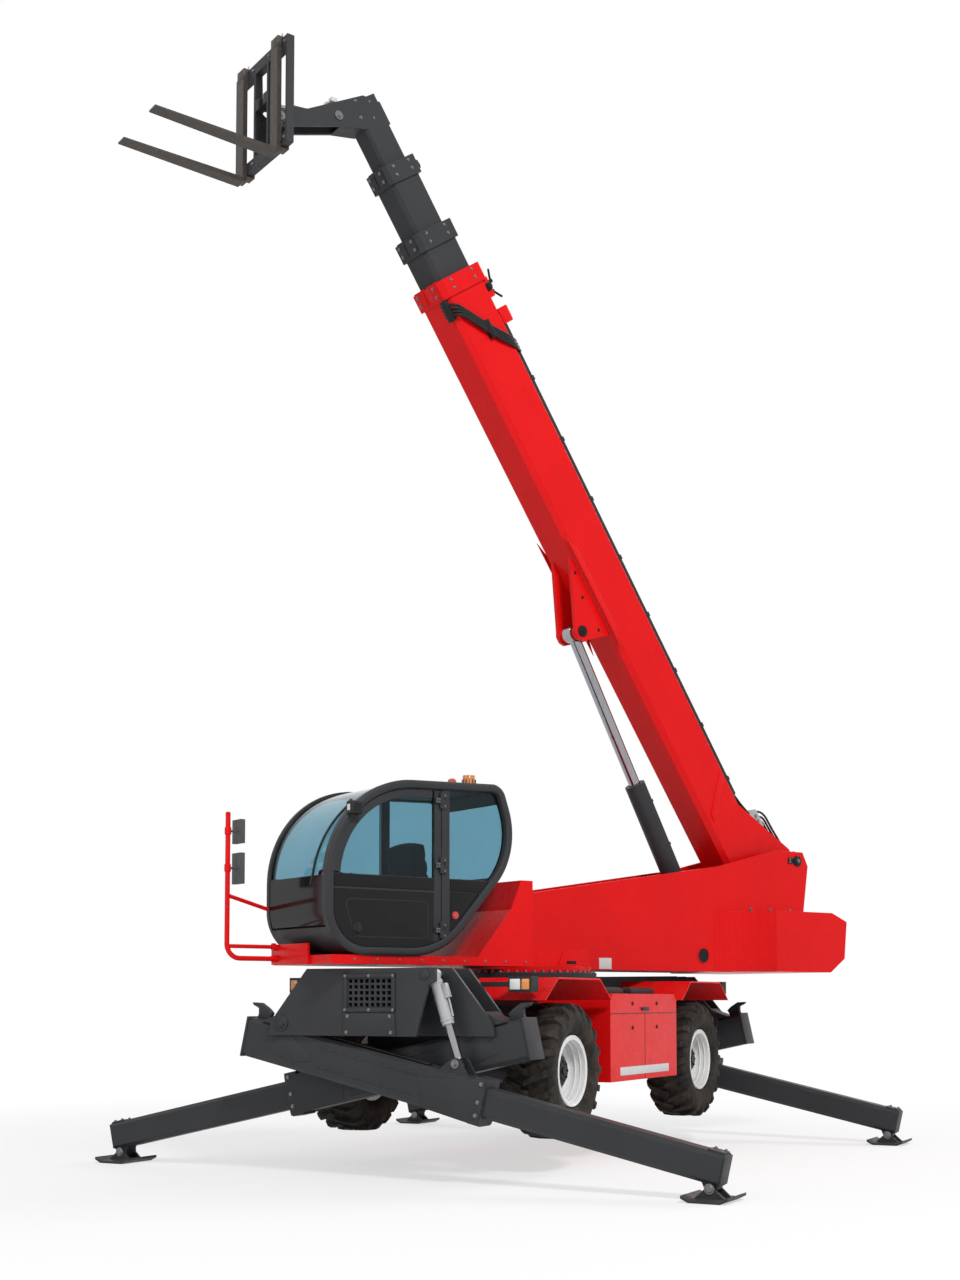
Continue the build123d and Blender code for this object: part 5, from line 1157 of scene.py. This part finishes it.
def carrier_fittings(end, place):
    """The grille's frame, the cover below it, the pins' caps and the bolts on one carrier."""
    face, proud = CARRIER_FACE - 0.001, CARRIER_FACE + 0.014
    covers, caps, screws = Shape(), Shape(), Shape()
    covers.plate([(-0.25, 0.892), (0.25, 0.892), (0.235, 1.075), (-0.235, 1.075)],
                 face, proud, "yz", bevel=0.003)
    for z in (1.102, 1.378):
        covers.box((face, -0.242, z - 0.016), (proud, 0.242, z + 0.016), 0.003)
        for y in (-0.227, 0.0, 0.227):
            screws.bolt((proud, y, z), (1, 0, 0), 0.010, 0.010)
    for side in SIDES:
        y = side * 0.227
        covers.box((face, y - 0.015, 1.086), (proud, y + 0.015, 1.394), 0.003)
        for y, z in ((0.20, 1.05), (0.21, 0.92)):
            screws.bolt((proud, side * y, z), (1, 0, 0), 0.012, 0.012)
    caps.boss((CARRIER_FACE, *BEAM_PIN), (1, 0, 0), 0.066, 0.014)
    caps.boss((proud, *BEAM_PIN), (1, 0, 0), 0.040, 0.012, 6)
    caps.boss((CARRIER_FACE, *JACK_PIN), (1, 0, 0), 0.044, 0.014)
    covers.done("carrier_covers_" + end, "chassis", GREY, place=place)
    caps.done("pin_caps_" + end, "chassis", GREY, place=place)
    screws.done("carrier_bolts_" + end, "chassis", STEEL, place=place)


# Studio

def seen_directly(tree):
    """One for rays from the camera and for those that come by way of gloss or glass."""
    path = add_node(tree, "ShaderNodeLightPath").outputs
    seen = path["Is Camera Ray"]
    for kind in ("Is Glossy Ray", "Is Transmission Ray"):
        seen = add_node(tree, "ShaderNodeMath", {0: seen, 1: path[kind]}, operation="MAXIMUM").outputs[0]
    return seen


def fade_to_white(finish):
    """Shows the floor as nearly white near the machine, where it keeps the shadow, and white further out."""
    away = finish.add("ShaderNodeVectorMath", {0: finish.place}, operation="LENGTH").outputs["Value"]
    share = finish.times(finish.ramp(away, SHADE_NEAR, SHADE_FAR, 0.60, 1.0), seen_directly(finish.tree))
    white = finish.add("ShaderNodeEmission").outputs[0]
    mix = finish.add("ShaderNodeMixShader", {0: share, 1: finish.shader.outputs[0], 2: white})
    feed(finish.tree, finish.tree.nodes["Material Output"], {0: mix.outputs[0]})


def add_object(name, data):
    obj = bpy.data.objects.new(name, data)
    bpy.context.scene.collection.objects.link(obj)
    return obj


def studio():
    world = bpy.data.worlds.new("studio")
    bpy.context.scene.world = world
    world.use_nodes = True
    tree = world.node_tree
    light = tree.nodes["Background"]
    feed(tree, light, {"Color": (0.92, 0.95, 1.0, 1), "Strength": 0.36})
    white = add_node(tree, "ShaderNodeBackground", {"Color": (1, 1, 1, 1)})
    mix = add_node(tree, "ShaderNodeMixShader",
                   {0: seen_directly(tree), 1: light.outputs[0], 2: white.outputs[0]})
    feed(tree, tree.nodes["World Output"], {0: mix.outputs[0]})

    for name, place, aim, size, power in (("key", (13.0, 15.0, 17.0), (0, 0, 3.5), 4.0, 3500),
                                          ("fill", (20.0, -8.0, 9.0), (0, 0, 3.0), 10.0, 800),
                                          ("rim_light", (-14.0, 6.0, 14.0), (0, 0, 3.0), 8.0, 1300)):
        data = bpy.data.lights.new(name, "AREA")
        data.size = size
        data.energy = power
        obj = add_object(name, data)
        obj.location = place
        obj.rotation_euler = (Vector(aim) - Vector(place)).to_track_quat("-Z", "Y").to_euler()

    mesh = bpy.data.meshes.new("floor")
    half = FLOOR_HALF
    corners = [(-half, -half, 0), (half, -half, 0), (half, half, 0), (-half, half, 0)]
    mesh.from_pydata(corners, [], [(0, 1, 2, 3)])
    floor = add_object("floor", mesh)
    finish = Finish("pale_floor", (0.93, 0.93, 0.93), 0.7)
    finish.set({"Specular IOR Level": 0.1})
    finish.mix(finish.ramp(finish.noise(0.4), 0.4, 0.7, 0.0, 0.2), (0.90, 0.90, 0.90))
    mesh.materials.append(finish.done())
    fade_to_white(finish)


def camera():
    data = bpy.data.cameras.new("camera")
    data.lens = CAMERA_LENS
    data.shift_y = CAMERA_SHIFT
    obj = add_object("camera", data)
    obj.location = CAMERA_PLACE
    yaw, pitch = math.radians(CAMERA_YAW), math.radians(CAMERA_PITCH)
    look = Vector((math.cos(pitch) * math.cos(yaw), math.cos(pitch) * math.sin(yaw), math.sin(pitch)))
    obj.rotation_euler = look.to_track_quat("-Z", "Y").to_euler()
    bpy.context.scene.camera = obj


for build in (wheels, outriggers, cab_shell, door, cab, interior, turret, boom, collars, nose, carriage,
              lift_cylinder, chassis, studio, camera):
    build()
bpy.context.scene.view_settings.view_transform = "Standard"
